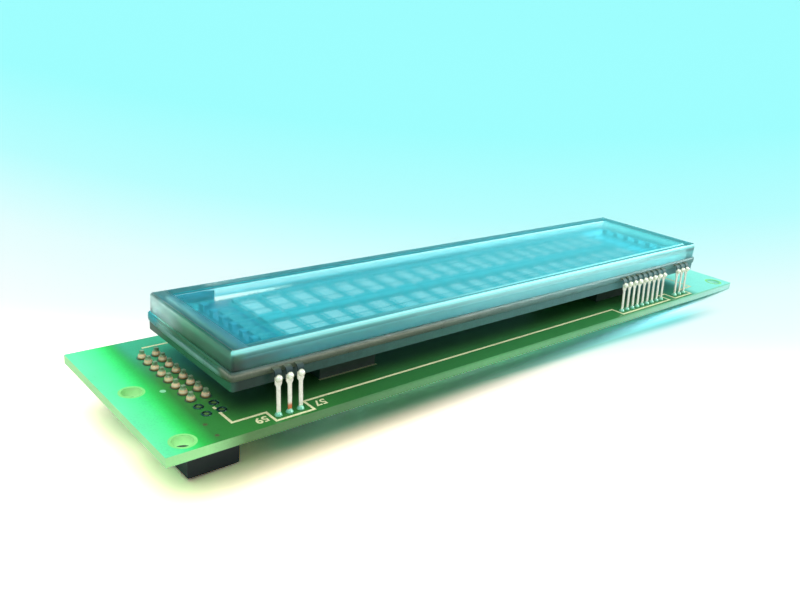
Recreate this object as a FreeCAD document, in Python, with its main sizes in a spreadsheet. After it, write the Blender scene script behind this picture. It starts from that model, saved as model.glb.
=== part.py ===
import FreeCAD, Part
import math
import os
import re
import Sketcher

# A vacuum fluorescent display module with two rows of twenty characters.
# A flat glass tube stands on its leads over a long circuit board, a box header
# for a ribbon cable sits under the left end of the board, and the drive circuit
# is under the middle. All sizes are in millimetres. Every piece is drawn from the
# front left corner of the board's upper face: x runs along the board, y to its
# back and z up. The placement then puts the origin at the middle of the footprint,
# level with the mouth of the header.

SHEET = "Sizes"
SIZES = {
    # circuit board
    "board_thickness": 1.6,
    "board_right_room": 15.0,
    "board_back_room": 6.7,
    "mount_hole_diameter": 3.2,
    "mount_hole_inset": 3.85,
    "mount_hole_front_y": 2.8,
    "mount_hole_back_y": 20.1,
    # box header under the left end
    "header_pitch": 2.54,
    "header_rows": 8,
    "header_spare_rows": 2,
    "header_middle_x": 11.55,
    "header_first_pin_y": 13.16,
    "header_end_overhang": 5.08,
    "header_width": 8.9,
    "header_height": 9.0,
    "header_wall": 1.2,
    "header_floor": 2.5,
    "header_notch_width": 4.5,
    "header_notch_depth": 5.2,
    "header_chamfer": 0.4,
    "pin_width": 0.64,
    "pin_mouth_gap": 0.8,
    "pin_rise": 1.4,
    "pin_chamfer": 0.15,
    "open_hole_radius": 0.53,
    "bead_radius": 0.74,
    "bead_height": 0.95,
    "bead_chamfer": 0.25,
    # glass tube
    "tube_left_x": 12.0,
    "tube_front_y": 3.8,
    "tube_left_room": 13.2,
    "tube_right_room": 14.0,
    "tube_side_room": 4.95,
    "tube_gap": 4.87,
    "base_thickness": 2.4,
    "base_corner_radius": 0.5,
    "base_ledge": 0.15,
    "seal_thickness": 0.3,
    "seal_bulge": 0.3,
    "seal_bead_below": 0.8,
    "seal_bead_above": 0.4,
    "seal_bead_chamfer": 0.22,
    "seal_lip": 0.2,
    "seal_corner_radius": 0.9,
    "cover_height": 3.8,
    "cover_wall": 1.8,
    "cover_roof": 1.6,
    "cover_corner_radius": 0.5,
    "cover_edge_radius": 0.5,
    "cover_inner_radius": 0.9,
    "cover_inner_chamfer": 0.5,
    # leads of the tube
    "lead_pitch": 2.0,
    "lead_left_inset": 7.0,
    "lead_right_inset": 5.2,
    "lead_width": 0.66,
    "lead_shoulder_width": 1.15,
    "lead_shoulder_drop": 2.1,
    "lead_taper": 0.45,
    "lead_thickness": 0.2,
    "lead_bend_radius": 0.55,
    "lead_top_reach": 1.3,
    "lead_foot_reach": 1.8,
    "lead_knee_height": 0.95,
    "lead_tail": 0.9,
    "lead_inner_reach": 0.8,
    "joint_radius": 0.74,
    "joint_height": 0.6,
    "joint_chamfer": 0.3,
    # characters, grids and filaments inside the tube
    "columns": 20,
    "char_pitch": 5.05,
    "char_width": 3.6,
    "char_height": 7.3,
    "row_pitch": 10.8,
    "insulation_thickness": 0.06,
    "insulation_end_margin": 0.6,
    "insulation_side_margin": 0.5,
    "anode_thickness": 0.05,
    "grid_gap": 0.3,
    "grid_height": 0.6,
    "grid_thickness": 0.06,
    "grid_overhang": 0.75,
    "grid_window_border": 0.35,
    "filament_count": 6,
    "filament_pitch": 3.2,
    "filament_thickness": 0.08,
    "filament_height": 1.6,
    "filament_end_margin": 0.2,
    "anchor_inset": 6.7,
    "anchor_foot": 1.6,
    "anchor_flange": 1.0,
    "anchor_thickness": 0.15,
    "anchor_end_margin": 1.2,
    "anchor_gap_width": 2.0,
    "anchor_rail_height": 0.5,
    "driver_chip_width": 2.2,
    "driver_chip_length": 14.0,
    "driver_chip_thickness": 0.4,
    "driver_chip_inset": 10.3,
    "getter_inset_x": 4.6,
    "getter_inset_y": 5.6,
    "getter_outer_radius": 1.6,
    "getter_inner_radius": 0.9,
    "getter_ring_height": 0.5,
    "getter_strap_width": 1.1,
    "getter_shelf_length": 2.6,
    "getter_strap_thickness": 0.15,
    "getter_rise": 0.8,
    "getter_foot_length": 1.3,
    # exhaust tip and foam pads under the tube
    "tip_inset_x": 11.2,
    "tip_inset_y": 6.0,
    "tip_radius": 1.7,
    "tip_neck_drop": 1.6,
    "tip_length": 3.7,
    "tip_end_radius": 0.45,
    "exhaust_bore_radius": 0.7,
    "foam_inset": 19.4,
    "foam_width": 11.9,
    "foam_front_reach": 5.1,
    "foam_depth": 17.0,
    # controller under the board
    "controller_x": 84.0,
    "controller_y": 19.25,
    "controller_size": 7.0,
    "controller_thickness": 1.6,
    "controller_side_leads": 7,
    "controller_lead_pitch": 0.8,
    "controller_lead_width": 0.35,
    "controller_lead_reach": 1.4,
    "chip_draft": 7.0,
    "chip_standoff": 0.15,
    "chip_lead_thickness": 0.15,
    "chip_lead_foot": 0.65,
    "chip_lead_slope": 0.3,
    # driver for the data lines
    "buffer_x": 66.0,
    "buffer_y": 9.0,
    "buffer_length": 9.9,
    "buffer_width": 3.9,
    "buffer_thickness": 1.45,
    "buffer_side_leads": 7,
    "buffer_lead_pitch": 1.27,
    "buffer_lead_width": 0.42,
    "buffer_lead_reach": 1.05,
    # converter transformer
    "transformer_x": 54.0,
    "transformer_y": 25.5,
    "core_length": 13.0,
    "core_width": 12.6,
    "core_thickness": 3.4,
    "core_yoke": 1.9,
    "core_middle_leg": 4.0,
    "spool_wall": 0.5,
    "winding_margin": 0.3,
    "winding_depth": 0.65,
    "rail_height": 1.3,
    "rail_overhang": 1.2,
    "rail_lip": 0.6,
    "terminal_pitch": 2.5,
    "terminal_count": 5,
    "terminal_width": 0.7,
    "terminal_reach": 0.9,
    "terminal_thickness": 0.3,
    # small parts of the drive circuit
    "can_x": 28.0,
    "can_y": 12.0,
    "can_pitch": 9.0,
    "can_radius": 3.1,
    "can_height": 4.8,
    "can_base_size": 6.6,
    "can_base_thickness": 0.8,
    "can_base_chamfer": 1.3,
    "regulator_gap": 4.25,
    "regulator_y": 26.5,
    "regulator_width": 6.5,
    "regulator_length": 6.1,
    "regulator_thickness": 2.3,
    "regulator_tab_length": 1.2,
    "regulator_tab_width": 5.4,
    "regulator_tab_thickness": 0.5,
    "regulator_lead_width": 0.8,
    "regulator_lead_pitch": 4.6,
    "regulator_lead_length": 2.6,
    "diode_x": 68.0,
    "diode_y": 20.0,
    "diode_pitch": 4.6,
    "diode_count": 3,
    "diode_length": 4.4,
    "diode_width": 2.6,
    "diode_thickness": 2.1,
    "resonator_x": 95.5,
    "resonator_y": 27.5,
    "resonator_length": 7.2,
    "resonator_width": 3.0,
    "resonator_thickness": 1.8,
    "resonator_edge_chamfer": 0.3,
    "resistor_x": 98.0,
    "resistor_y": 8.0,
    "resistor_pitch": 2.6,
    "resistor_count": 8,
    "resistor_length": 2.0,
    "resistor_width": 1.25,
    "resistor_thickness": 0.55,
    "ceramic_x": 30.0,
    "ceramic_y": 36.2,
    "ceramic_pitch": 6.2,
    "ceramic_count": 6,
    "ceramic_length": 2.0,
    "ceramic_width": 1.25,
    "ceramic_thickness": 1.1,
    # room that a cutting shape has past the face that it cuts
    "cut_room": 1.0,
}

# Levels and places that follow from the sizes
BOARD_LENGTH = "(tube_left_x + columns * char_pitch + tube_left_room + tube_right_room + board_right_room)"
BOARD_WIDTH = "(tube_front_y + char_height + row_pitch + 2 * tube_side_room + board_back_room)"
BOARD_BOTTOM = "(-board_thickness)"
TUBE_RIGHT = "(tube_left_x + columns * char_pitch + tube_left_room + tube_right_room)"
TUBE_BACK = "(tube_front_y + char_height + row_pitch + 2 * tube_side_room)"
TUBE_MIDDLE_Y = "(tube_front_y + (char_height + row_pitch) / 2 + tube_side_room)"
BASE_TOP = "(tube_gap + base_thickness)"
COVER_BOTTOM = "(tube_gap + base_thickness + seal_thickness)"
GRID_ARRAY_LEFT = "(tube_left_x + tube_left_room)"
GRID_FRONT = "(tube_front_y + tube_side_room - grid_overhang)"
GRID_BACK = "(tube_front_y + tube_side_room + char_height + row_pitch + grid_overhang)"
GRID_SEAT = "(tube_gap + base_thickness + insulation_thickness)"
LEAD_TOP_Y = "(tube_front_y - lead_top_reach)"
LEAD_FOOT_Y = "(tube_front_y - lead_foot_reach)"
HEADER_FIRST_PIN = ("(header_middle_x - header_pitch / 2)", "header_first_pin_y")
GETTER_X = "(tube_left_x + getter_inset_x)"
GETTER_Y = f"({TUBE_BACK} - getter_inset_y)"
CORE_TOP = "(-board_thickness - rail_height)"
CORE_MIDDLE = "(-board_thickness - rail_height - core_thickness / 2)"
CORE_WINDOW_LENGTH = "(core_width - 2 * core_yoke)"
REGULATOR_X = "(transformer_x - (core_length + regulator_width) / 2 - regulator_gap)"

# Pin numbers of the leads that the tube has, counted from its right end
LEFT_LEADS = [59, 58, 57]
MIDDLE_LEADS = [14, 13, 12, 11, 10, 9, 8, 7, 6]
RIGHT_LEADS = [3, 2, 1]
ALL_LEADS = LEFT_LEADS + MIDDLE_LEADS + RIGHT_LEADS

# Sides of the small round things that are there many times
HOLE_SIDES = 8
SOLDER_SIDES = 6

# Two points closer than this are taken as one
SAME_PLACE = 1e-4

doc = FreeCAD.newDocument("fluorescent_display")


def make_sheet():
    """Put every driving size in the sheet, with its name as the cell's alias."""
    sheet = doc.addObject("Spreadsheet::Sheet", SHEET)
    for row, (name, number) in enumerate(SIZES.items(), start=1):
        sheet.set(f"A{row}", name)
        sheet.set(f"B{row}", str(number))
        sheet.setAlias(f"B{row}", name)
    doc.recompute()
    return sheet


def in_sheet(formula):
    """Turn a formula of size names into an expression that reads the sheet."""
    def point_to_cell(word):
        name = word.group()
        return f"{SHEET}.{name}" if name in SIZES else name
    return re.sub(r"[a-z][a-z_]*", point_to_cell, formula)


def bind(item, prop, formula):
    """Bind one property of an object to a formula of size names."""
    item.setExpression(prop, in_sheet(formula))


def add_body(name):
    """An empty body, placed so that the origin is under the middle of the board."""
    body = doc.addObject("PartDesign::Body", name)
    body.Label = name
    bind(body, "Placement.Base.x", f"-{BOARD_LENGTH} / 2")
    bind(body, "Placement.Base.y", f"-{BOARD_WIDTH} / 2")
    bind(body, "Placement.Base.z", "header_height + board_thickness")
    return body


def origin_item(body, role):
    """The origin plane or axis of a body that has the given role."""
    return [item for item in body.Origin.OriginFeatures if item.Role == role][0]


def sketch_level(body, name, height="0"):
    """A sketch seen from above, at a height over the board."""
    sketch = body.newObject("Sketcher::SketchObject", name)
    sketch.AttachmentSupport = [(origin_item(body, "XY_Plane"), "")]
    sketch.MapMode = "FlatFace"
    bind(sketch, "AttachmentOffset.Base.z", height)
    return sketch


def sketch_front(body, name, depth="0", middle="0"):
    """A sketch seen from the front, at a depth y, its own x counted from middle."""
    sketch = body.newObject("Sketcher::SketchObject", name)
    sketch.AttachmentSupport = [(origin_item(body, "XZ_Plane"), "")]
    sketch.MapMode = "FlatFace"
    bind(sketch, "AttachmentOffset.Base.x", middle)
    bind(sketch, "AttachmentOffset.Base.z", f"-({depth})")
    return sketch


def sketch_side(body, name, along="0"):
    """A sketch seen from the right end, at a place x along the board."""
    sketch = body.newObject("Sketcher::SketchObject", name)
    sketch.AttachmentSupport = [(origin_item(body, "YZ_Plane"), "")]
    sketch.MapMode = "FlatFace"
    bind(sketch, "AttachmentOffset.Base.z", along)
    return sketch


def pin_point(sketch, geometry, which, across, up):
    """Hold one point of the sketch at two formulas, counted from its origin."""
    for kind, formula in (("DistanceX", across), ("DistanceY", up)):
        index = sketch.addConstraint(Sketcher.Constraint(kind, -1, 1, geometry, which, 1.0))
        bind(sketch, f"Constraints[{index}]", formula)


def add_outline(sketch, corners):
    """A closed outline of straight lines whose corners are pairs of formulas."""
    start = FreeCAD.Vector(0, 0, 0)
    lines = []
    for step in range(len(corners)):
        end = FreeCAD.Vector(step + 1, (step + 1) ** 2, 0)
        lines.append(sketch.addGeometry(Part.LineSegment(start, end), False))
        start = end
    for step, (across, up) in enumerate(corners):
        follower = lines[(step + 1) % len(lines)]
        sketch.addConstraint(Sketcher.Constraint("Coincident", lines[step], 2, follower, 1))
        pin_point(sketch, lines[step], 1, across, up)


def add_rectangle(sketch, left, low, right, high):
    """A rectangle between two opposite corners."""
    add_outline(sketch, [(left, low), (right, low), (right, high), (left, high)])


def add_rounded_rectangle(sketch, left, low, right, high, radius):
    """A rectangle between two opposite corners, with its own corners rounded."""
    wide, tall, bend = 40.0, 20.0, 4.0
    quarter = math.pi / 2
    line_ends = [
        ((bend, 0), (wide - bend, 0)),
        ((wide, bend), (wide, tall - bend)),
        ((wide - bend, tall), (bend, tall)),
        ((0, tall - bend), (0, bend)),
    ]
    arc_middles = [(wide - bend, bend), (wide - bend, tall - bend), (bend, tall - bend), (bend, bend)]
    lines = []
    arcs = []
    for step in range(4):
        start, end = [FreeCAD.Vector(x, y, 0) for x, y in line_ends[step]]
        lines.append(sketch.addGeometry(Part.LineSegment(start, end), False))
        middle = FreeCAD.Vector(*arc_middles[step], 0)
        circle = Part.Circle(middle, FreeCAD.Vector(0, 0, 1), bend)
        arc = Part.ArcOfCircle(circle, (step - 1) * quarter, step * quarter)
        arcs.append(sketch.addGeometry(arc, False))
    for step in range(4):
        sketch.addConstraint(Sketcher.Constraint("Tangent", lines[step], 2, arcs[step], 1))
        sketch.addConstraint(Sketcher.Constraint("Tangent", arcs[step], 2, lines[(step + 1) % 4], 1))
        direction = "Horizontal" if step % 2 == 0 else "Vertical"
        sketch.addConstraint(Sketcher.Constraint(direction, lines[step]))
        if step:
            sketch.addConstraint(Sketcher.Constraint("Equal", arcs[0], arcs[step]))
    index = sketch.addConstraint(Sketcher.Constraint("Radius", arcs[0], bend))
    bind(sketch, f"Constraints[{index}]", radius)
    sides = (("DistanceY", low), ("DistanceX", right), ("DistanceY", high), ("DistanceX", left))
    for line, (kind, formula) in zip(lines, sides):
        index = sketch.addConstraint(Sketcher.Constraint(kind, -1, 1, line, 1, 1.0))
        bind(sketch, f"Constraints[{index}]", formula)


def add_centred(sketch, across, up, width, height):
    """A rectangle about its middle."""
    add_rectangle(
        sketch,
        f"{across} - ({width}) / 2",
        f"{up} - ({height}) / 2",
        f"{across} + ({width}) / 2",
        f"{up} + ({height}) / 2",
    )


def add_circle(sketch, across, up, diameter):
    """A circle with its middle and diameter bound to formulas."""
    circle = Part.Circle(FreeCAD.Vector(0, 0, 0), FreeCAD.Vector(0, 0, 1), 1.0)
    geometry = sketch.addGeometry(circle, False)
    pin_point(sketch, geometry, 3, across, up)
    index = sketch.addConstraint(Sketcher.Constraint("Diameter", geometry, 1.0))
    bind(sketch, f"Constraints[{index}]", diameter)


def add_polygon(sketch, across, up, radius, sides):
    """A regular outline with its corners on a circle."""
    corners = []
    for step in range(sides):
        turn = f"{(step + 0.5) * 360 / sides} deg"
        corners.append((f"{across} + {radius} * cos({turn})", f"{up} + {radius} * sin({turn})"))
    add_outline(sketch, corners)


def add_pad(sketch, length, down=False, both_ways=False, draft=None):
    """Raise a sketch into a solid, upwards, downwards or both ways."""
    body = sketch.getParent()
    pad = body.newObject("PartDesign::Pad", f"{sketch.Name}_pad")
    pad.Profile = sketch
    pad.Reversed = down
    if both_ways:
        pad.SideType = "Symmetric"
    bind(pad, "Length", length)
    if draft:
        bind(pad, "TaperAngle", f"-({draft})")
    doc.recompute()
    return pad


def add_pocket(sketch, length, up=False, both_ways=False):
    """Cut a sketch out of the solid, downwards, upwards or both ways."""
    body = sketch.getParent()
    before = body.Shape.Volume
    pocket = body.newObject("PartDesign::Pocket", f"{sketch.Name}_cut")
    pocket.Profile = sketch
    pocket.Reversed = up
    if both_ways:
        pocket.SideType = "Symmetric"
    bind(pocket, "Length", length)
    doc.recompute()
    if body.Shape.Volume >= before:
        raise RuntimeError(f"{pocket.Name} cuts nothing")
    return pocket


def add_turned(sketch):
    """Turn a sketch right round about its own upright axis."""
    body = sketch.getParent()
    turned = body.newObject("PartDesign::Revolution", f"{sketch.Name}_turned")
    turned.Profile = sketch
    turned.ReferenceAxis = (sketch, ["V_Axis"])
    turned.Angle = 360
    doc.recompute()
    return turned


def add_repeat(feature, axis, spacing, count, second=None):
    """Repeat a feature along an axis, and along a second one where one is given."""
    body = feature.getParent()
    repeat = body.newObject("PartDesign::LinearPattern", f"{feature.Name}_repeat")
    repeat.Originals = [feature]
    repeat.Direction = (origin_item(body, axis), [""])
    bind(repeat, "Occurrences", count)
    bind(repeat, "Length", f"({spacing}) * ({count} - 1)")
    if second:
        second_axis, second_spacing, second_count = second
        repeat.Direction2 = (origin_item(body, second_axis), [""])
        bind(repeat, "Occurrences2", second_count)
        bind(repeat, "Length2", f"({second_spacing}) * ({second_count} - 1)")
    body.Tip = repeat
    doc.recompute()
    return repeat


def repeat_in_header(feature, rows):
    """Repeat what belongs to one header pin for both columns and some rows."""
    return add_repeat(feature, "X_Axis", "header_pitch", "2", second=("Y_Axis", "header_pitch", rows))


def add_rounding(body, edges, radius):
    """Round the named edges of the body's last feature."""
    tip = body.Tip
    rounding = body.newObject("PartDesign::Fillet", f"{tip.Name}_round")
    rounding.Base = (tip, edges)
    bind(rounding, "Radius", radius)
    doc.recompute()
    return rounding


def add_chamfer(body, edges, width):
    """Chamfer the named edges of the body's last feature."""
    tip = body.Tip
    chamfer = body.newObject("PartDesign::Chamfer", f"{tip.Name}_chamfer")
    chamfer.Base = (tip, edges)
    bind(chamfer, "Size", width)
    doc.recompute()
    return chamfer


def edges_along(shape, axis):
    """Names of the straight edges that run along one axis, 0 for x to 2 for z."""
    names = []
    for index, edge in enumerate(shape.Edges, start=1):
        first = edge.Vertexes[0].Point
        last = edge.Vertexes[-1].Point
        step = [abs(last[k] - first[k]) for k in range(3)]
        if step[axis] > SAME_PLACE and sum(step) - step[axis] < SAME_PLACE:
            names.append(f"Edge{index}")
    return names


def edges_at(shape, axis, place):
    """Names of the edges that lie wholly at one place on an axis."""
    names = []
    lows = ("XMin", "YMin", "ZMin")
    highs = ("XMax", "YMax", "ZMax")
    for index, edge in enumerate(shape.Edges, start=1):
        low = getattr(edge.BoundBox, lows[axis])
        high = getattr(edge.BoundBox, highs[axis])
        if abs(low - place) < SAME_PLACE and abs(high - place) < SAME_PLACE:
            names.append(f"Edge{index}")
    return names


def both(first, second):
    """The names that are in both lists."""
    return [name for name in first if name in second]


def mount_hole_places():
    """Middles of the four mounting holes, as pairs of formulas."""
    left = "mount_hole_inset"
    right = f"{BOARD_LENGTH} - mount_hole_inset"
    return [(x, y) for x in (left, right) for y in ("mount_hole_front_y", "mount_hole_back_y")]


def lead_x(number):
    """Place along the board of the lead with a pin number."""
    if number in LEFT_LEADS:
        return f"(tube_left_x + lead_left_inset + {LEFT_LEADS.index(number)} * lead_pitch)"
    return f"({TUBE_RIGHT} - lead_right_inset - {number - 1} * lead_pitch)"


def make_circuit_board():
    body = add_body("circuit_board")
    outline = sketch_level(body, "board_outline")
    add_rectangle(outline, "0", "0", BOARD_LENGTH, BOARD_WIDTH)
    add_pad(outline, "board_thickness", down=True)

    mounts = sketch_level(body, "mount_holes")
    for x, y in mount_hole_places():
        add_circle(mounts, x, y, "mount_hole_diameter")
    add_pocket(mounts, "board_thickness + cut_room")

    open_hole = sketch_level(body, "open_hole")
    first_x, first_y = HEADER_FIRST_PIN
    spare_y = f"{first_y} - header_spare_rows * header_pitch"
    add_polygon(open_hole, first_x, spare_y, "open_hole_radius", HOLE_SIDES)
    hole = add_pocket(open_hole, "board_thickness + cut_room")
    repeat_in_header(hole, "header_spare_rows")

    pin_hole = sketch_level(body, "board_pin_hole")
    add_centred(pin_hole, first_x, first_y, "pin_width", "pin_width")
    hole = add_pocket(pin_hole, "board_thickness + cut_room")
    repeat_in_header(hole, "header_rows")

    lead_slots = sketch_level(body, "board_lead_slots")
    for number in ALL_LEADS:
        add_centred(lead_slots, lead_x(number), LEAD_FOOT_Y, "lead_width", "lead_thickness")
    add_pocket(lead_slots, "board_thickness + cut_room")


def make_header_body():
    """A box header: an open-mouthed shroud with a key notch, seen from below."""
    body = add_body("header_body")
    front = "(header_first_pin_y - header_end_overhang)"
    back = "(header_first_pin_y + (header_rows - 1) * header_pitch + header_end_overhang)"
    left = "(header_middle_x - header_width / 2)"
    right = "(header_middle_x + header_width / 2)"
    mouth = "(-board_thickness - header_height)"

    outline = sketch_level(body, "shroud_outline", BOARD_BOTTOM)
    add_rectangle(outline, left, front, right, back)
    add_pad(outline, "header_height", down=True)
    shape = body.Tip.Shape
    low_edges = edges_at(shape, 2, shape.BoundBox.ZMin)
    add_chamfer(body, low_edges, "header_chamfer")

    cavity = sketch_level(body, "cavity", mouth)
    add_rectangle(
        cavity,
        f"{left} + header_wall",
        f"{front} + header_wall",
        f"{right} - header_wall",
        f"{back} - header_wall",
    )
    add_pocket(cavity, "header_height - header_floor", up=True)

    notch = sketch_level(body, "key_notch", mouth)
    middle = f"({front} + {back}) / 2"
    add_rectangle(
        notch,
        f"{right} - header_wall - cut_room / 2",
        f"{middle} - header_notch_width / 2",
        f"{right} + cut_room",
        f"{middle} + header_notch_width / 2",
    )
    add_pocket(notch, "header_notch_depth", up=True)

    pin_hole = sketch_level(body, "pin_hole", BOARD_BOTTOM)
    add_centred(pin_hole, *HEADER_FIRST_PIN, "pin_width", "pin_width")
    repeat_in_header(add_pocket(pin_hole, "header_height"), "header_rows")


def make_header_pins():
    """Sixteen square posts, from just inside the mouth to above the board."""
    body = add_body("header_pins")
    section = sketch_level(body, "pin_section", "pin_rise")
    add_centred(section, *HEADER_FIRST_PIN, "pin_width", "pin_width")
    pin = add_pad(section, "pin_rise + board_thickness + header_height - pin_mouth_gap", down=True)
    repeat_in_header(pin, "header_rows")
    shape = body.Tip.Shape
    add_chamfer(body, edges_at(shape, 2, shape.BoundBox.ZMin), "pin_chamfer")


def make_header_solder():
    """Beads of solder round the sixteen pins, on the upper face of the board."""
    body = add_body("header_solder")
    bead = sketch_level(body, "bead")
    add_polygon(bead, *HEADER_FIRST_PIN, "bead_radius", SOLDER_SIDES)
    repeat_in_header(add_pad(bead, "bead_height"), "header_rows")
    shape = body.Tip.Shape
    add_chamfer(body, edges_at(shape, 2, shape.BoundBox.ZMax), "bead_chamfer")

    pin_hole = sketch_level(body, "solder_pin_hole", "bead_height")
    add_centred(pin_hole, *HEADER_FIRST_PIN, "pin_width", "pin_width")
    repeat_in_header(add_pocket(pin_hole, "bead_height + cut_room"), "header_rows")


def make_base_glass():
    """The flat glass plate that carries everything inside the tube."""
    body = add_body("base_glass")
    outline = sketch_level(body, "base_outline", "tube_gap")
    add_rectangle(outline, "tube_left_x", "tube_front_y", TUBE_RIGHT, TUBE_BACK)
    add_pad(outline, "base_thickness")
    add_rounding(body, edges_along(body.Tip.Shape, 2), "base_corner_radius")

    bore = sketch_level(body, "exhaust_bore", BASE_TOP)
    add_circle(bore, f"{TUBE_RIGHT} - tip_inset_x", f"{TUBE_BACK} - tip_inset_y", "2 * exhaust_bore_radius")
    add_pocket(bore, "base_thickness + cut_room")


def make_front_glass():
    """The pressed glass box that closes the tube, open at its underside."""
    body = add_body("front_glass")
    outline = sketch_level(body, "cover_outline", COVER_BOTTOM)
    add_rectangle(
        outline,
        "tube_left_x + base_ledge",
        "tube_front_y + base_ledge",
        f"{TUBE_RIGHT} - base_ledge",
        f"{TUBE_BACK} - base_ledge",
    )
    add_pad(outline, "cover_height")
    add_rounding(body, edges_along(body.Tip.Shape, 2), "cover_corner_radius")
    shape = body.Tip.Shape
    add_rounding(body, edges_at(shape, 2, shape.BoundBox.ZMax), "cover_edge_radius")

    inside = sketch_level(body, "cover_inside", COVER_BOTTOM)
    add_rectangle(
        inside,
        "tube_left_x + base_ledge + cover_wall",
        "tube_front_y + base_ledge + cover_wall",
        f"{TUBE_RIGHT} - base_ledge - cover_wall",
        f"{TUBE_BACK} - base_ledge - cover_wall",
    )
    add_pocket(inside, "cover_height - cover_roof", up=True)
    shape = body.Tip.Shape
    roof = shape.BoundBox.ZMax - SIZES["cover_roof"]
    corners = edges_inside(edges_along(shape, 2), shape, SIZES["cover_wall"])
    add_rounding(body, corners, "cover_inner_radius")
    add_chamfer(body, edges_at(body.Tip.Shape, 2, roof), "cover_inner_chamfer")


def edges_inside(names, shape, margin):
    """Those of the named edges that lie inside the shape's box by a margin."""
    box = shape.BoundBox
    room = margin - SAME_PLACE
    kept = []
    for name in names:
        middle = shape.getElement(name).BoundBox.Center
        clear_x = min(middle.x - box.XMin, box.XMax - middle.x) > room
        clear_y = min(middle.y - box.YMin, box.YMax - middle.y) > room
        if clear_x and clear_y:
            kept.append(name)
    return kept


def make_frit_seal():
    """The fired glass bead that joins the plate to the cover and holds the leads."""
    body = add_body("frit_seal")
    lowest = f"{BASE_TOP} - seal_bead_below"
    outline = sketch_level(body, "bead_outline", lowest)
    add_rounded_rectangle(
        outline,
        "tube_left_x - seal_bulge",
        "tube_front_y - seal_bulge",
        f"{TUBE_RIGHT} + seal_bulge",
        f"{TUBE_BACK} + seal_bulge",
        "seal_corner_radius",
    )
    add_pad(outline, "seal_bead_below + seal_thickness + seal_bead_above")
    shape = body.Tip.Shape
    rims = edges_at(shape, 2, shape.BoundBox.ZMin) + edges_at(shape, 2, shape.BoundBox.ZMax)
    add_chamfer(body, rims, "seal_bead_chamfer")

    plate = sketch_level(body, "plate_seat", BASE_TOP)
    add_rounded_rectangle(
        plate,
        "tube_left_x",
        "tube_front_y",
        TUBE_RIGHT,
        TUBE_BACK,
        "base_corner_radius",
    )
    add_pocket(plate, "seal_bead_below + cut_room")

    cover = sketch_level(body, "cover_seat", COVER_BOTTOM)
    add_rounded_rectangle(
        cover,
        "tube_left_x + base_ledge",
        "tube_front_y + base_ledge",
        f"{TUBE_RIGHT} - base_ledge",
        f"{TUBE_BACK} - base_ledge",
        "cover_corner_radius",
    )
    add_pocket(cover, "seal_bead_above + cut_room", up=True)

    window = sketch_level(body, "seal_window", BASE_TOP)
    inset = "base_ledge + cover_wall + seal_lip"
    add_rectangle(
        window,
        f"tube_left_x + {inset}",
        f"tube_front_y + {inset}",
        f"{TUBE_RIGHT} - ({inset})",
        f"{TUBE_BACK} - ({inset})",
    )
    add_pocket(window, "seal_thickness + cut_room", up=True)

    slots = sketch_level(body, "lead_slots", BASE_TOP)
    for number in ALL_LEADS:
        x = lead_x(number)
        add_rectangle(
            slots,
            f"{x} - lead_shoulder_width / 2",
            "tube_front_y - seal_bulge - cut_room",
            f"{x} + lead_shoulder_width / 2",
            f"tube_front_y + {inset} + lead_inner_reach",
        )
    add_pocket(slots, "lead_thickness", up=True)


def make_lead(number):
    """One flat lead: out of the seal, over the edge and down through the board."""
    body = add_body(f"lead_{number}")
    x = lead_x(number)
    half = "lead_thickness / 2"
    inner_end = "tube_front_y + base_ledge + cover_wall + seal_lip + lead_inner_reach"
    lower_end = f"{BOARD_BOTTOM} - lead_tail"
    profile = sketch_side(body, f"lead_{number}_profile", x)
    add_outline(profile, [
        (inner_end, BASE_TOP),
        (f"{LEAD_TOP_Y} + {half}", BASE_TOP),
        (f"{LEAD_FOOT_Y} + {half}", "lead_knee_height"),
        (f"{LEAD_FOOT_Y} + {half}", lower_end),
        (f"{LEAD_FOOT_Y} - {half}", lower_end),
        (f"{LEAD_FOOT_Y} - {half}", "lead_knee_height"),
        (f"{LEAD_TOP_Y} - {half}", f"{BASE_TOP} + lead_thickness"),
        (inner_end, f"{BASE_TOP} + lead_thickness"),
    ])
    add_pad(profile, "lead_shoulder_width", both_ways=True)
    shape = body.Tip.Shape
    top = shape.BoundBox.ZMax
    outer_bend = nearest_front(both(edges_along(shape, 0), edges_at(shape, 2, top)), shape)
    add_rounding(body, [outer_bend], "lead_bend_radius + lead_thickness")
    shape = body.Tip.Shape
    under = top - SIZES["lead_thickness"]
    inner_bend = nearest_front(both(edges_along(shape, 0), edges_at(shape, 2, under)), shape)
    add_rounding(body, [inner_bend], "lead_bend_radius")

    sides = sketch_front(body, f"lead_{number}_sides", depth=LEAD_FOOT_Y, middle=x)
    shoulder = f"{BASE_TOP} - lead_shoulder_drop"
    for side in ("-", ""):
        add_outline(sides, [
            (f"{side}(lead_shoulder_width / 2 + cut_room)", shoulder),
            (f"{side}(lead_shoulder_width / 2)", shoulder),
            (f"{side}(lead_width / 2)", f"{shoulder} - lead_taper"),
            (f"{side}(lead_width / 2)", f"{lower_end} - cut_room"),
            (f"{side}(lead_shoulder_width / 2 + cut_room)", f"{lower_end} - cut_room"),
        ])
    add_pocket(sides, "2 * (lead_foot_reach + cut_room)", both_ways=True)


def nearest_front(names, shape):
    """The one of the named edges that lies furthest to the front."""
    return min(names, key=lambda name: shape.getElement(name).BoundBox.YMin)


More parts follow.
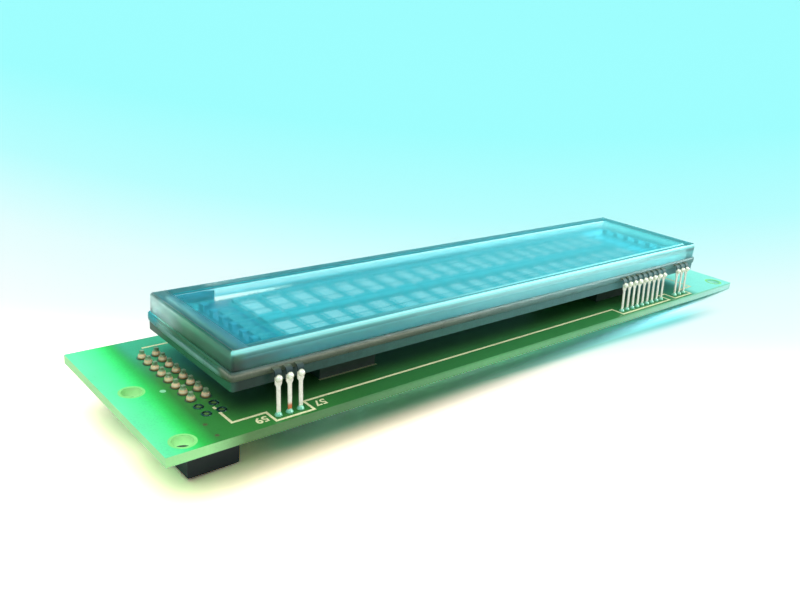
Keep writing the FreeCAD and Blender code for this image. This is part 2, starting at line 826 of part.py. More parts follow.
def make_lead_solder():
    """Solder round the leads, on both faces of the board."""
    body = add_body("lead_solder")
    for down, face in ((False, "0"), (True, BOARD_BOTTOM)):
        for group in (LEFT_LEADS, MIDDLE_LEADS, RIGHT_LEADS):
            joint = sketch_level(body, f"joint_{group[0]}", face)
            add_polygon(joint, lead_x(group[0]), LEAD_FOOT_Y, "joint_radius", SOLDER_SIDES)
            pad = add_pad(joint, "joint_height", down=down)
            add_repeat(pad, "X_Axis", "lead_pitch", f"{len(group)}")
    shape = body.Tip.Shape
    add_chamfer(body, edges_at(shape, 2, shape.BoundBox.ZMax), "joint_chamfer")

    slots = sketch_level(body, "solder_lead_slots", "joint_height")
    for number in ALL_LEADS:
        add_centred(slots, lead_x(number), LEAD_FOOT_Y, "lead_width", "lead_thickness")
    add_pocket(slots, "board_thickness + 2 * joint_height + cut_room")


def make_insulation_layer():
    """The dark printed layer that covers the wiring under the characters."""
    body = add_body("insulation_layer")
    outline = sketch_level(body, "layer_outline", BASE_TOP)
    grids = "(columns * char_pitch)"
    add_rectangle(
        outline,
        f"{GRID_ARRAY_LEFT} - insulation_end_margin",
        f"{GRID_FRONT} - insulation_side_margin",
        f"{GRID_ARRAY_LEFT} + {grids} + insulation_end_margin",
        f"{GRID_BACK} + insulation_side_margin",
    )
    add_pad(outline, "insulation_thickness")


def make_dot_anodes():
    """Forty fields of phosphor dots, one under each character window."""
    body = add_body("dot_anodes")
    field = sketch_level(body, "field_outline", GRID_SEAT)
    add_centred(
        field,
        f"{GRID_ARRAY_LEFT} + char_pitch / 2",
        "tube_front_y + tube_side_room + char_height / 2",
        "char_width",
        "char_height",
    )
    pad = add_pad(field, "anode_thickness")
    add_repeat(pad, "X_Axis", "char_pitch", "columns", second=("Y_Axis", "row_pitch", "2"))


def make_control_grids():
    """Twenty thin metal frames, each bridging the two characters of a column."""
    body = add_body("control_grids")
    seat = GRID_SEAT
    top = f"{GRID_SEAT} + grid_height"
    sheet = "grid_thickness"
    middle_x = f"{GRID_ARRAY_LEFT} + char_pitch / 2"
    bridge = sketch_side(body, "bridge", middle_x)
    add_outline(bridge, [
        (GRID_FRONT, seat),
        (GRID_FRONT, f"{top} + {sheet}"),
        (GRID_BACK, f"{top} + {sheet}"),
        (GRID_BACK, seat),
        (f"{GRID_BACK} - {sheet}", seat),
        (f"{GRID_BACK} - {sheet}", top),
        (f"{GRID_FRONT} + {sheet}", top),
        (f"{GRID_FRONT} + {sheet}", seat),
    ])
    pad = add_pad(bridge, "char_pitch - grid_gap", both_ways=True)
    add_repeat(pad, "X_Axis", "char_pitch", "columns")

    window = sketch_level(body, "grid_window", f"{top} + {sheet}")
    add_centred(
        window,
        middle_x,
        "tube_front_y + tube_side_room + char_height / 2",
        "char_pitch - grid_gap - 2 * grid_window_border",
        "char_height + grid_window_border",
    )
    opening = add_pocket(window, "grid_height")
    add_repeat(opening, "X_Axis", "char_pitch", "columns", second=("Y_Axis", "row_pitch", "2"))


def make_filament_end(name, edge, inward):
    """A bent metal comb that holds one end of every filament; inward is + or -."""
    body = add_body(name)
    low = BASE_TOP
    high = f"{BASE_TOP} + filament_height"
    sheet = "anchor_thickness"
    profile = sketch_front(body, f"{name}_profile", depth=TUBE_MIDDLE_Y)
    add_outline(profile, [
        (edge, low),
        (f"{edge} {inward} anchor_foot", low),
        (f"{edge} {inward} anchor_foot", f"{low} + {sheet}"),
        (f"{edge} {inward} {sheet}", f"{low} + {sheet}"),
        (f"{edge} {inward} {sheet}", f"{high} - {sheet}"),
        (f"{edge} {inward} anchor_flange", f"{high} - {sheet}"),
        (f"{edge} {inward} anchor_flange", high),
        (edge, high),
    ])
    add_pad(profile, f"{GRID_BACK} - {GRID_FRONT} - 2 * anchor_end_margin", both_ways=True)

    gap = sketch_level(body, f"{name}_gap", high)
    add_rectangle(
        gap,
        f"{edge} - anchor_foot",
        f"{TUBE_MIDDLE_Y} - (filament_count - 2) / 2 * filament_pitch - anchor_gap_width / 2",
        f"{edge} + anchor_foot",
        f"{TUBE_MIDDLE_Y} - (filament_count - 2) / 2 * filament_pitch + anchor_gap_width / 2",
    )
    cut = add_pocket(gap, "filament_height - anchor_rail_height")
    add_repeat(cut, "Y_Axis", "filament_pitch", "filament_count - 1")


def make_filaments():
    """The heated wires, laid on both combs above the grids."""
    body = add_body("filaments")
    section = sketch_side(body, "wire_section", "tube_left_x + anchor_inset + filament_end_margin")
    add_centred(
        section,
        f"{TUBE_MIDDLE_Y} - (filament_count - 1) / 2 * filament_pitch",
        f"{BASE_TOP} + filament_height + filament_thickness / 2",
        "filament_thickness",
        "filament_thickness",
    )
    ends = "2 * (anchor_inset + filament_end_margin)"
    wire = add_pad(section, f"{TUBE_RIGHT} - tube_left_x - {ends}")
    add_repeat(wire, "Y_Axis", "filament_pitch", "filament_count")


def make_driver_chip():
    """The bare silicon driver that lies beside the characters inside the tube."""
    body = add_body("driver_chip")
    outline = sketch_level(body, "die_outline", BASE_TOP)
    x = "tube_left_x + driver_chip_inset"
    add_centred(outline, x, TUBE_MIDDLE_Y, "driver_chip_width", "driver_chip_length")
    add_pad(outline, "driver_chip_thickness")


def make_getter_strap():
    """The bent strap that carries the getter ring over the plate."""
    body = add_body("getter_strap")
    sheet = "getter_strap_thickness"
    shelf_end = f"{GETTER_Y} + getter_shelf_length / 2"
    riser = f"{GETTER_Y} - getter_shelf_length / 2"
    shelf = f"{BASE_TOP} + getter_rise"
    profile = sketch_side(body, "strap_profile", GETTER_X)
    add_outline(profile, [
        (f"{riser} - getter_foot_length", BASE_TOP),
        (f"{riser} + {sheet}", BASE_TOP),
        (f"{riser} + {sheet}", shelf),
        (shelf_end, shelf),
        (shelf_end, f"{shelf} + {sheet}"),
        (riser, f"{shelf} + {sheet}"),
        (riser, f"{BASE_TOP} + {sheet}"),
        (f"{riser} - getter_foot_length", f"{BASE_TOP} + {sheet}"),
    ])
    add_pad(profile, "getter_strap_width", both_ways=True)


def make_getter_ring():
    """The ring that held the metal flashed on the inside of the glass."""
    body = add_body("getter_ring")
    seat = f"{BASE_TOP} + getter_rise + getter_strap_thickness"
    section = sketch_front(body, "ring_section", depth=GETTER_Y, middle=GETTER_X)
    add_rectangle(
        section,
        "getter_inner_radius",
        seat,
        "getter_outer_radius",
        f"{seat} + getter_ring_height",
    )
    add_turned(section)


def make_exhaust_tip():
    """The sealed stub of the tube through which the air was pumped out."""
    body = add_body("exhaust_tip")
    x = f"{TUBE_RIGHT} - tip_inset_x"
    y = f"{TUBE_BACK} - tip_inset_y"
    profile = sketch_front(body, "tip_profile", depth=y, middle=x)
    add_outline(profile, [
        ("exhaust_bore_radius", "tube_gap"),
        ("tip_radius", "tube_gap"),
        ("tip_radius", "tube_gap - tip_neck_drop"),
        ("tip_end_radius", "tube_gap - tip_length"),
        ("0", "tube_gap - tip_length"),
        ("0", "tube_gap - tip_neck_drop"),
        ("exhaust_bore_radius", "tube_gap - tip_neck_drop"),
    ])
    add_turned(profile)


def make_foam_pad(name, left):
    """A foam pad that holds the tube off the board."""
    body = add_body(name)
    outline = sketch_level(body, f"{name}_outline")
    add_rectangle(
        outline,
        left,
        "tube_front_y + foam_front_reach",
        f"{left} + foam_width",
        "tube_front_y + foam_front_reach + foam_depth",
    )
    add_pad(outline, "tube_gap")


def make_chip(name, length, width):
    """A moulded chip body under the board, drafted both ways from its middle."""
    body = add_body(name)
    kind = name.split("_")[0]
    middle = f"{BOARD_BOTTOM} - chip_standoff - {kind}_thickness / 2"
    for down in (False, True):
        way = "lower" if down else "upper"
        outline = sketch_level(body, f"{name}_{way}", middle)
        add_centred(outline, f"{kind}_x", f"{kind}_y", length, width)
        add_pad(outline, f"{kind}_thickness / 2", down=down, draft="chip_draft")


def chip_lead_corners(kind, centre, half, away):
    """Side view of one bent chip lead; away is + or - from the middle of the chip."""
    edge = f"{centre} {away} ({half}"
    middle = f"{BOARD_BOTTOM} - chip_standoff - {kind}_thickness / 2"
    sheet = "chip_lead_thickness"
    bend = f"{kind}_lead_reach - chip_lead_foot - chip_lead_slope"
    foot = f"{kind}_lead_reach - chip_lead_foot"
    return [
        (f"{edge})", f"{middle} - {sheet} / 2"),
        (f"{edge} + {bend} + {sheet} / 2)", f"{middle} - {sheet} / 2"),
        (f"{edge} + {foot} + {sheet} / 2)", f"{BOARD_BOTTOM} - {sheet}"),
        (f"{edge} + {kind}_lead_reach)", f"{BOARD_BOTTOM} - {sheet}"),
        (f"{edge} + {kind}_lead_reach)", BOARD_BOTTOM),
        (f"{edge} + {foot} - {sheet} / 2)", BOARD_BOTTOM),
        (f"{edge} + {bend} - {sheet} / 2)", f"{middle} + {sheet} / 2"),
        (f"{edge})", f"{middle} + {sheet} / 2"),
    ]


def add_chip_leads(body, kind, half, across_x):
    """Rows of leads on two opposite sides of a chip."""
    along = f"{kind}_y" if across_x else f"{kind}_x"
    centre = f"{kind}_x" if across_x else f"{kind}_y"
    first = f"{along} - ({kind}_side_leads - 1) / 2 * {kind}_lead_pitch"
    for away in ("-", "+"):
        corners = chip_lead_corners(kind, centre, half, away)
        if across_x:
            sketch = sketch_front(body, f"{kind}_lead_end", depth=first)
        else:
            sketch = sketch_side(body, f"{kind}_lead_side", first)
        add_outline(sketch, corners)
        pad = add_pad(sketch, f"{kind}_lead_width", both_ways=True)
        axis = "Y_Axis" if across_x else "X_Axis"
        add_repeat(pad, axis, f"{kind}_lead_pitch", f"{kind}_side_leads")


def make_controller():
    make_chip("controller_chip", "controller_size", "controller_size")
    body = add_body("controller_leads")
    add_chip_leads(body, "controller", "controller_size / 2", across_x=False)
    add_chip_leads(body, "controller", "controller_size / 2", across_x=True)


def make_buffer():
    make_chip("buffer_chip", "buffer_length", "buffer_width")
    body = add_body("buffer_leads")
    add_chip_leads(body, "buffer", "buffer_width / 2", across_x=False)


def make_transformer_core():
    """The ferrite of the converter: two outer legs and a middle leg."""
    body = add_body("transformer_core")
    outline = sketch_level(body, "core_outline", CORE_TOP)
    add_centred(outline, "transformer_x", "transformer_y", "core_length", "core_width")
    add_pad(outline, "core_thickness", down=True)

    windows = sketch_level(body, "core_windows", CORE_TOP)
    window_width = "(core_length / 2 - core_yoke - core_middle_leg / 2)"
    for side in ("-", "+"):
        middle = f"transformer_x {side} (core_middle_leg / 2 + {window_width} / 2)"
        add_centred(windows, middle, "transformer_y", window_width, CORE_WINDOW_LENGTH)
    add_pocket(windows, "core_thickness + cut_room")


def make_transformer_bobbin():
    """The moulded bobbin: a square spool on the middle leg and two pin rails."""
    body = add_body("transformer_bobbin")
    spool = sketch_front(body, "spool", depth="transformer_y", middle="transformer_x")
    add_centred(
        spool,
        "0",
        CORE_MIDDLE,
        "core_middle_leg + 2 * spool_wall",
        "core_thickness + 2 * spool_wall",
    )
    add_pad(spool, CORE_WINDOW_LENGTH, both_ways=True)

    rails = sketch_level(body, "rails", BOARD_BOTTOM)
    rail_depth = "(rail_overhang + core_yoke + rail_lip)"
    for side in ("-", "+"):
        middle = f"transformer_y {side} (core_width / 2 + rail_overhang - {rail_depth} / 2)"
        add_centred(rails, "transformer_x", middle, "core_length", rail_depth)
    add_pad(rails, "rail_height", down=True)

    leg = sketch_front(body, "leg_hole", depth="transformer_y", middle="transformer_x")
    add_centred(leg, "0", CORE_MIDDLE, "core_middle_leg", "core_thickness")
    add_pocket(leg, f"{CORE_WINDOW_LENGTH} + cut_room", both_ways=True)


def make_transformer_winding():
    """The taped winding round the spool."""
    body = add_body("transformer_winding")
    outline = sketch_front(body, "winding", depth="transformer_y", middle="transformer_x")
    add_centred(
        outline,
        "0",
        CORE_MIDDLE,
        "core_middle_leg + 2 * (spool_wall + winding_depth)",
        "core_thickness + 2 * (spool_wall + winding_depth)",
    )
    length = f"{CORE_WINDOW_LENGTH} - 2 * (rail_lip + winding_margin)"
    add_pad(outline, length, both_ways=True)
    add_rounding(body, edges_along(body.Tip.Shape, 1), "winding_depth / 2")

    hole = sketch_front(body, "spool_hole", depth="transformer_y", middle="transformer_x")
    add_centred(
        hole,
        "0",
        CORE_MIDDLE,
        "core_middle_leg + 2 * spool_wall",
        "core_thickness + 2 * spool_wall",
    )
    add_pocket(hole, f"{CORE_WINDOW_LENGTH} + cut_room", both_ways=True)


def make_transformer_terminals():
    """Ten tabs that stand out of the rails and are soldered to the board."""
    body = add_body("transformer_terminals")
    tab = sketch_level(body, "tab", BOARD_BOTTOM)
    reach = "(core_width / 2 + rail_overhang + terminal_reach / 2)"
    add_centred(
        tab,
        "transformer_x - (terminal_count - 1) / 2 * terminal_pitch",
        f"transformer_y - {reach}",
        "terminal_width",
        "terminal_reach",
    )
    pad = add_pad(tab, "terminal_thickness", down=True)
    across = ("Y_Axis", f"2 * {reach}", "2")
    add_repeat(pad, "X_Axis", "terminal_pitch", "terminal_count", second=across)


def make_can_capacitors():
    """Two aluminium cans, standing on moulded bases."""
    body = add_body("can_capacitors")
    seat = f"({BOARD_BOTTOM} - can_base_thickness)"
    end = f"({seat} - can_height)"
    profile = sketch_front(body, "can_profile", depth="can_y", middle="can_x")
    add_outline(profile, [
        ("0", seat),
        ("can_radius", seat),
        ("can_radius", end),
        ("0", end),
    ])
    add_repeat(add_turned(profile), "X_Axis", "can_pitch", "2")

    body = add_body("can_bases")
    outline = sketch_level(body, "can_base", BOARD_BOTTOM)
    half = "can_base_size / 2"
    add_outline(outline, [
        (f"can_x - {half}", f"can_y - {half}"),
        (f"can_x + {half} - can_base_chamfer", f"can_y - {half}"),
        (f"can_x + {half}", f"can_y - {half} + can_base_chamfer"),
        (f"can_x + {half}", f"can_y + {half} - can_base_chamfer"),
        (f"can_x + {half} - can_base_chamfer", f"can_y + {half}"),
        (f"can_x - {half}", f"can_y + {half}"),
    ])
    pad = add_pad(outline, "can_base_thickness", down=True)
    add_repeat(pad, "X_Axis", "can_pitch", "2")


def make_regulator():
    """The voltage regulator with its cooling tab and two leads flat on the board."""
    body = add_body("regulator_body")
    outline = sketch_level(body, "regulator_outline", BOARD_BOTTOM)
    add_centred(outline, REGULATOR_X, "regulator_y", "regulator_width", "regulator_length")
    add_pad(outline, "regulator_thickness", down=True, draft="chip_draft")

    body = add_body("regulator_leads")
    flats = sketch_level(body, "regulator_flats", BOARD_BOTTOM)
    back = "(regulator_y + regulator_length / 2)"
    front = "(regulator_y - regulator_length / 2)"
    tab_middle = f"{back} + regulator_tab_length / 2"
    add_centred(flats, REGULATOR_X, tab_middle, "regulator_tab_width", "regulator_tab_length")
    for side in ("-", "+"):
        middle = f"{REGULATOR_X} {side} regulator_lead_pitch / 2"
        lead_middle = f"{front} - regulator_lead_length / 2"
        add_centred(flats, middle, lead_middle, "regulator_lead_width", "regulator_lead_length")
    add_pad(flats, "regulator_tab_thickness", down=True)


def make_row(name, kind, axis):
    """A row of small block parts soldered flat under the board."""
    body = add_body(name)
    outline = sketch_level(body, f"{kind}_outline", BOARD_BOTTOM)
    add_centred(outline, f"{kind}_x", f"{kind}_y", f"{kind}_length", f"{kind}_width")
    pad = add_pad(outline, f"{kind}_thickness", down=True)
    add_repeat(pad, axis, f"{kind}_pitch", f"{kind}_count")


def make_resonator():
    """The ceramic resonator that clocks the controller."""
    body = add_body("resonator")
    outline = sketch_level(body, "resonator_outline", BOARD_BOTTOM)
    add_centred(outline, "resonator_x", "resonator_y", "resonator_length", "resonator_width")
    add_pad(outline, "resonator_thickness", down=True)
    shape = body.Tip.Shape
    add_chamfer(body, edges_at(shape, 2, shape.BoundBox.ZMin), "resonator_edge_chamfer")


def make_board_and_header():
    make_circuit_board()
    make_header_body()
    make_header_pins()
    make_header_solder()


def make_tube():
    make_base_glass()
    make_front_glass()
    make_frit_seal()
    for number in ALL_LEADS:
        make_lead(number)
    make_lead_solder()
    make_insulation_layer()
    make_dot_anodes()
    make_control_grids()
    make_filament_end("filament_anchor", "(tube_left_x + anchor_inset)", "+")
    make_filament_end("filament_support", f"({TUBE_RIGHT} - anchor_inset)", "-")
    make_filaments()
    make_driver_chip()
    make_getter_strap()
    make_getter_ring()
    make_exhaust_tip()


def make_foam_pads():
    make_foam_pad("foam_pad_left", "(tube_left_x + foam_inset)")
    make_foam_pad("foam_pad_right", f"({TUBE_RIGHT} - foam_inset - foam_width)")


def make_drive_circuit():
    make_controller()
    make_buffer()
    make_transformer_core()
    make_transformer_bobbin()
    make_transformer_winding()
    make_transformer_terminals()
    make_can_capacitors()
    make_regulator()
    make_row("rectifier_diodes", "diode", "Y_Axis")
    make_row("chip_resistors", "resistor", "X_Axis")
    make_row("chip_capacitors", "ceramic", "X_Axis")
    make_resonator()


def check_everything():
    """Stop if any object failed, or if a sub-part is empty or not sound."""
    for item in doc.Objects:
        if "Invalid" in item.State or "Error" in item.State:
            raise RuntimeError(f"{item.Label} failed: {item.State}")
    for body in all_bodies():
        shape = body.Shape
        if shape.isNull() or not shape.isValid() or not shape.Solids:
            raise RuntimeError(f"{body.Label} is not a sound solid")


def all_bodies():
    return [item for item in doc.Objects if item.TypeId == "PartDesign::Body"]


def write_everything():
    """Write one STEP file for each sub-part and print its size."""
    os.makedirs("parts", exist_ok=True)
    for body in all_bodies():
        body.Shape.exportStep(f"parts/{body.Label}.step")
        print(f"{body.Label}: {len(body.Shape.Solids)} solids, {body.Shape.Volume:.2f} mm3")


make_sheet()
make_board_and_header()
make_tube()
make_foam_pads()
make_drive_circuit()
doc.recompute()
check_everything()
write_everything()
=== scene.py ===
# %% [markdown]
# # A vacuum fluorescent display on a table
# A glass tube with two rows of characters stands on thin leads over a green
# circuit board. The shapes of the parts come from a CAD model. This lesson gives
# them their finishes, adds the fine things that CAD leaves out, and sets up the
# table, the light and the camera of the photograph.

# %% Load the CAD model
import math

import bmesh
import bpy
from mathutils import Matrix, Vector, noise


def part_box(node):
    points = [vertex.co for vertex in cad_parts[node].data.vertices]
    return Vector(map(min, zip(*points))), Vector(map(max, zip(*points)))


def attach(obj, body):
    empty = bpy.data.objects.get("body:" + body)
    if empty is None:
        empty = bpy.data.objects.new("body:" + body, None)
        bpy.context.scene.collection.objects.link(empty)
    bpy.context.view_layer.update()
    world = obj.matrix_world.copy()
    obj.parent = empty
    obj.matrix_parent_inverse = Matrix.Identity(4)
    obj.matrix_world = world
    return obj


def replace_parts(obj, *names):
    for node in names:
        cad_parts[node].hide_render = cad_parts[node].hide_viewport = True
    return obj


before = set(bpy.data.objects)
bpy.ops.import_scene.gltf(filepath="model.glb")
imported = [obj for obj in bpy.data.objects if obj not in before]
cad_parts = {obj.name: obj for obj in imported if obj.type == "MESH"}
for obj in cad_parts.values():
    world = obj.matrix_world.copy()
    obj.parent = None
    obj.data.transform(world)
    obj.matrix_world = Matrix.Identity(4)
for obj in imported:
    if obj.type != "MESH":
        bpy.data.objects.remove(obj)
scene = bpy.context.scene
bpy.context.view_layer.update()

# %% [markdown]
# ## Places on the board
# Someone who works on such a module measures from one corner of the board. These
# helpers do the same: they take millimetres from the front left corner of the
# board's upper face, with z counted upwards, and give the place in the scene.

# %% Measure from the corner of the board
MM = 0.001
board_low, board_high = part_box("circuit_board")
board_corner = Vector((board_low.x, board_low.y, board_high.z))
BOARD_LENGTH, BOARD_WIDTH, BOARD_THICKNESS = (board_high - board_low) / MM


def on_board(x, y, z=0.0):
    return board_corner + Vector((x, y, z)) * MM


def coordinate(axis, distance):
    """Where a distance along X, Y or Z lies in the scene."""
    return on_board(distance, distance, distance)["XYZ".index(axis)]


print(f"board {BOARD_LENGTH:.1f} by {BOARD_WIDTH:.1f} by {BOARD_THICKNESS:.1f} mm")

# %% [markdown]
# ## The camera
# The photograph was taken with a small camera held low over the header end. Its
# place and its three angles were found by matching known pitches, so they are set
# as numbers. The picture is tipped by five degrees, which the roll angle gives.

# %% Set the camera
EYE = on_board(-39.19, -86.36, 58.40)
YAW = math.radians(42.47)
PITCH = math.radians(-20.08)
ROLL = math.radians(5.08)
LENS_MM = 35.21
SENSOR_MM = 36
SEEN_FROM, SEEN_TO = 0.005, 100

ahead = Vector((math.sin(YAW) * math.cos(PITCH), math.cos(YAW) * math.cos(PITCH), math.sin(PITCH)))
level_right = Vector((math.cos(YAW), -math.sin(YAW), 0))
level_up = level_right.cross(ahead)
right = level_right * math.cos(ROLL) + level_up * math.sin(ROLL)
up = level_up * math.cos(ROLL) - level_right * math.sin(ROLL)

camera_data = bpy.data.cameras.new("camera")
camera_data.lens = LENS_MM
camera_data.sensor_width = SENSOR_MM
camera_data.clip_start = SEEN_FROM
camera_data.clip_end = SEEN_TO
camera = bpy.data.objects.new("camera", camera_data)
scene.collection.objects.link(camera)
turn = Matrix((right, up, -ahead)).transposed()
camera.matrix_world = Matrix.Translation(EYE) @ turn.to_4x4()
scene.camera = camera
print("camera at", [round(value, 4) for value in EYE])

# %% [markdown]
# ## Colours
# Colours are easiest to judge as they look on a screen, from 0 to 255, but the
# renderer wants linear light. One helper turns the first into the second.

# %% Turn screen colours into linear ones
WHITE = (1.0, 1.0, 1.0, 1.0)
BLACK = (0.0, 0.0, 0.0, 1.0)


def screen(*colour):
    """The linear colour for a red, a green and a blue from the screen."""
    def linear(value):
        value = value / 255
        return value / 12.92 if value <= 0.04045 else ((value + 0.055) / 1.055) ** 2.4
    return (*map(linear, colour), 1.0)


def shades(*stops):
    """Stops of a colour ramp, each given as (share, red, green, blue)."""
    return [(share, screen(*colour)) for share, *colour in stops]


# %% [markdown]
# ## A tree and a canvas for each material
# Every finish is a tree of nodes. The first helper gives such a tree short ways to
# add a node, to join it and to calculate with it, so that each finish below reads
# as a short list of what is special about it.

# %% The tree


class Tree:
    """A tree of nodes, with the shader that it came with."""

    def __init__(self, tree):
        self.tree = tree
        self.shader = tree.nodes.get("Principled BSDF") or tree.nodes.get("Background")

    def feed(self, value, socket):
        """Join an output to a socket, or set the socket to a plain value."""
        if isinstance(value, bpy.types.NodeSocket):
            self.tree.links.new(value, socket)
        else:
            socket.default_value = value

    def add(self, kind, **settings):
        """A node with its properties and, by name, a value or an output for its inputs."""
        node = self.tree.nodes.new(kind)
        for key, value in settings.items():
            if hasattr(node, key):
                setattr(node, key, value)
            else:
                self.feed(value, node.inputs[key.replace("_", " ")])
        return node

    def set(self, **values):
        """A value or an output for inputs of the shader."""
        for key, value in values.items():
            self.feed(value, self.shader.inputs[key.replace("_", " ")])

    def calculate(self, operation, *values, clamp=False):
        """The result of a Math node."""
        node = self.add("ShaderNodeMath", operation=operation, use_clamp=clamp)
        for value, socket in zip(values, node.inputs):
            self.feed(value, socket)
        return node.outputs[0]

    def scaled(self, value, **settings):
        """The result of a Map Range node."""
        return self.add("ShaderNodeMapRange", Value=value, **settings).outputs["Result"]

    def split(self, vector):
        """The three parts of a vector, by the names X, Y and Z."""
        return self.add("ShaderNodeSeparateXYZ", Vector=vector).outputs

    def end_with(self, mask, first, second):
        """Show the first shader where the mask is 0 and the second where it is 1."""
        mix = self.add("ShaderNodeMixShader")
        for value, socket in zip((mask, first, second), mix.inputs):
            self.feed(value, socket)
        self.feed(mix.outputs["Shader"], self.tree.nodes["Material Output"].inputs["Surface"])


# %% [markdown]
# A canvas is a tree that also knows places on the object. A mask can start so many
# millimetres from the corner of the board, a colour can fade from one place to the
# next, and colours can lie over each other in layers, like coats of paint.

# %% The canvas


class Canvas(Tree):
    """A tree that is painted by place, in millimetres from the corner of the board."""

    axes = None

    def axis(self, name):
        """One of the Object coordinates."""
        if self.axes is None:
            self.axes = self.split(self.add("ShaderNodeTexCoord").outputs["Object"])
        return self.axes[name]

    def step(self, value, threshold, softness):
        """0 before a threshold and 1 past it, or the other way for a negative softness."""
        start, end = threshold - softness / 2, threshold + softness / 2
        return self.scaled(value, interpolation_type="SMOOTHSTEP", From_Min=start, From_Max=end)

    def past(self, axis, start, softness):
        """A mask that starts at a place on an axis, or ends there if softness is negative."""
        return self.step(self.axis(axis), coordinate(axis, start), softness * MM)

    def mask(self, mask):
        """A mask as it is, or one made from (axis, start, softness)."""
        return self.past(*mask) if isinstance(mask, tuple) else mask

    def all_of(self, *masks):
        """The product of several masks."""
        total, *others = map(self.mask, masks)
        for mask in others:
            total = self.calculate("MULTIPLY", total, mask)
        return total

    def blend(self, mask, first, second, kind="MIX"):
        """The first colour where the mask is 0 and the second where it is 1."""
        mix = self.add("ShaderNodeMix", data_type="RGBA", blend_type=kind)
        for value, number in zip((self.mask(mask), first, second), (0, 6, 7)):
            self.feed(value, mix.inputs[number])
        return mix.outputs[2]

    def times(self, first, second):
        """One colour multiplied by another."""
        return self.blend(1.0, first, second, kind="MULTIPLY")

    def layers(self, colour, *coats):
        """Coats of (mask, colour) over a first colour, one after another."""
        for mask, coat in coats:
            colour = self.blend(mask, colour, coat)
        return colour

    def colours(self, value, low, high, stops):
        """A colour that follows a value from low to high through stops of (share, colour)."""
        share = self.scaled(value, From_Min=low, From_Max=high)
        ramp = self.add("ShaderNodeValToRGB", Fac=share)
        ends = ramp.color_ramp.elements
        ends[0].position, ends[0].color = stops[0]
        ends[1].position, ends[1].color = stops[-1]
        for position, colour in stops[1:-1]:
            ends.new(position).color = colour
        return ramp.outputs["Color"]

    def fade(self, axis, low, high, stops):
        """A colour that follows an axis from one place to another."""
        return self.colours(self.axis(axis), coordinate(axis, low), coordinate(axis, high), stops)


def new_material(name, **values):
    """A material whose Principled BSDF has some plain values, and its canvas."""
    material = bpy.data.materials.new(name)
    material.use_nodes = True
    canvas = Canvas(material.node_tree)
    canvas.set(**values)
    return material, canvas


# %% [markdown]
# ## A group for uneven surfaces
# Nothing real has one even colour: moulding, solder mask and solder are all a
# little cloudy at one scale and grainy at another. The group reads Object
# coordinates, mixes two noises and puts out a shade around 1 for the colour, a
# small change for the roughness and a height for a Bump node.

# %% Shader group: mottle
RELIEF_DEPTH = 0.01 * MM


def make_mottle_group():
    group = bpy.data.node_groups.new("mottle", "ShaderNodeTree")
    for name, value in (("Cloud Scale", 300.0), ("Grain Scale", 3000.0), ("Contrast", 0.2)):
        socket = group.interface.new_socket(name=name, in_out="INPUT", socket_type="NodeSocketFloat")
        socket.default_value = value
    for name in ("Shade", "Unevenness", "Height"):
        group.interface.new_socket(name=name, in_out="OUTPUT", socket_type="NodeSocketFloat")
    canvas = Canvas(group)
    given = canvas.add("NodeGroupInput").outputs
    place = canvas.add("ShaderNodeTexCoord").outputs["Object"]
    textures = [
        canvas.add("ShaderNodeTexNoise", Detail=detail, Scale=given[scale], Vector=place)
        for scale, detail in (("Cloud Scale", 3.0), ("Grain Scale", 2.0))
    ]
    cloud, grain = (texture.outputs["Fac"] for texture in textures)
    centred = canvas.calculate("SUBTRACT", canvas.calculate("ADD", cloud, grain), 1.0)
    change = canvas.calculate("MULTIPLY", centred, given["Contrast"])
    shade = canvas.calculate("ADD", change, 1.0)
    canvas.add("NodeGroupOutput", Shade=shade, Unevenness=change, Height=grain)
    return group


MOTTLE = make_mottle_group()


def paint_mottled(canvas, colour, bump=0.0, **scales):
    """Set a base colour that the mottle shades, and a relief a hundredth of a millimetre deep."""
    mottle = canvas.add("ShaderNodeGroup", node_tree=MOTTLE, **scales).outputs
    canvas.set(Base_Color=canvas.times(colour, mottle["Shade"]))
    if bump:
        height = mottle["Height"]
        relief = canvas.add("ShaderNodeBump", Strength=bump, Distance=RELIEF_DEPTH, Height=height)
        canvas.set(Normal=relief.outputs["Normal"])
    return mottle


print("shader group", MOTTLE.name, "ready")

# %% [markdown]
# ## A finish with its mottle
# Most small parts need the same recipe: a base colour that the mottle shades, a
# roughness that it shifts, and a shallow bump. This function takes the values that
# differ from one finish to the next. Where a colour changes with the place, a
# function that paints it on the canvas is given instead of a plain colour.

# %% A general finish


def make_finish(
    name, colour, roughness, metal=0.0, cloud=300.0, grain=3000.0, contrast=0.2, bump=0.1, **values
):
    """A mottled material; its colour is one from the screen, or a function that paints it."""
    material, canvas = new_material(name, Metallic=metal, **values)
    colour = colour(canvas) if callable(colour) else screen(*colour)
    scales = {"Cloud_Scale": cloud, "Grain_Scale": grain, "Contrast": contrast}
    mottle = paint_mottled(canvas, colour, bump, **scales)
    canvas.set(Roughness=canvas.calculate("ADD", mottle["Unevenness"], roughness, clamp=True))
    return material


def dress(material, *nodes):
    """Give one material to CAD nodes."""
    for node in nodes:
        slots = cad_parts[node].data.materials
        slots.clear()
        slots.append(material)


# %% [markdown]
# ## Finishes of the small parts
# Black moulding, tinned metal, ceramics and tape all come from the one recipe.
# Metal is never quite smooth here, because solder-dipped parts are not.

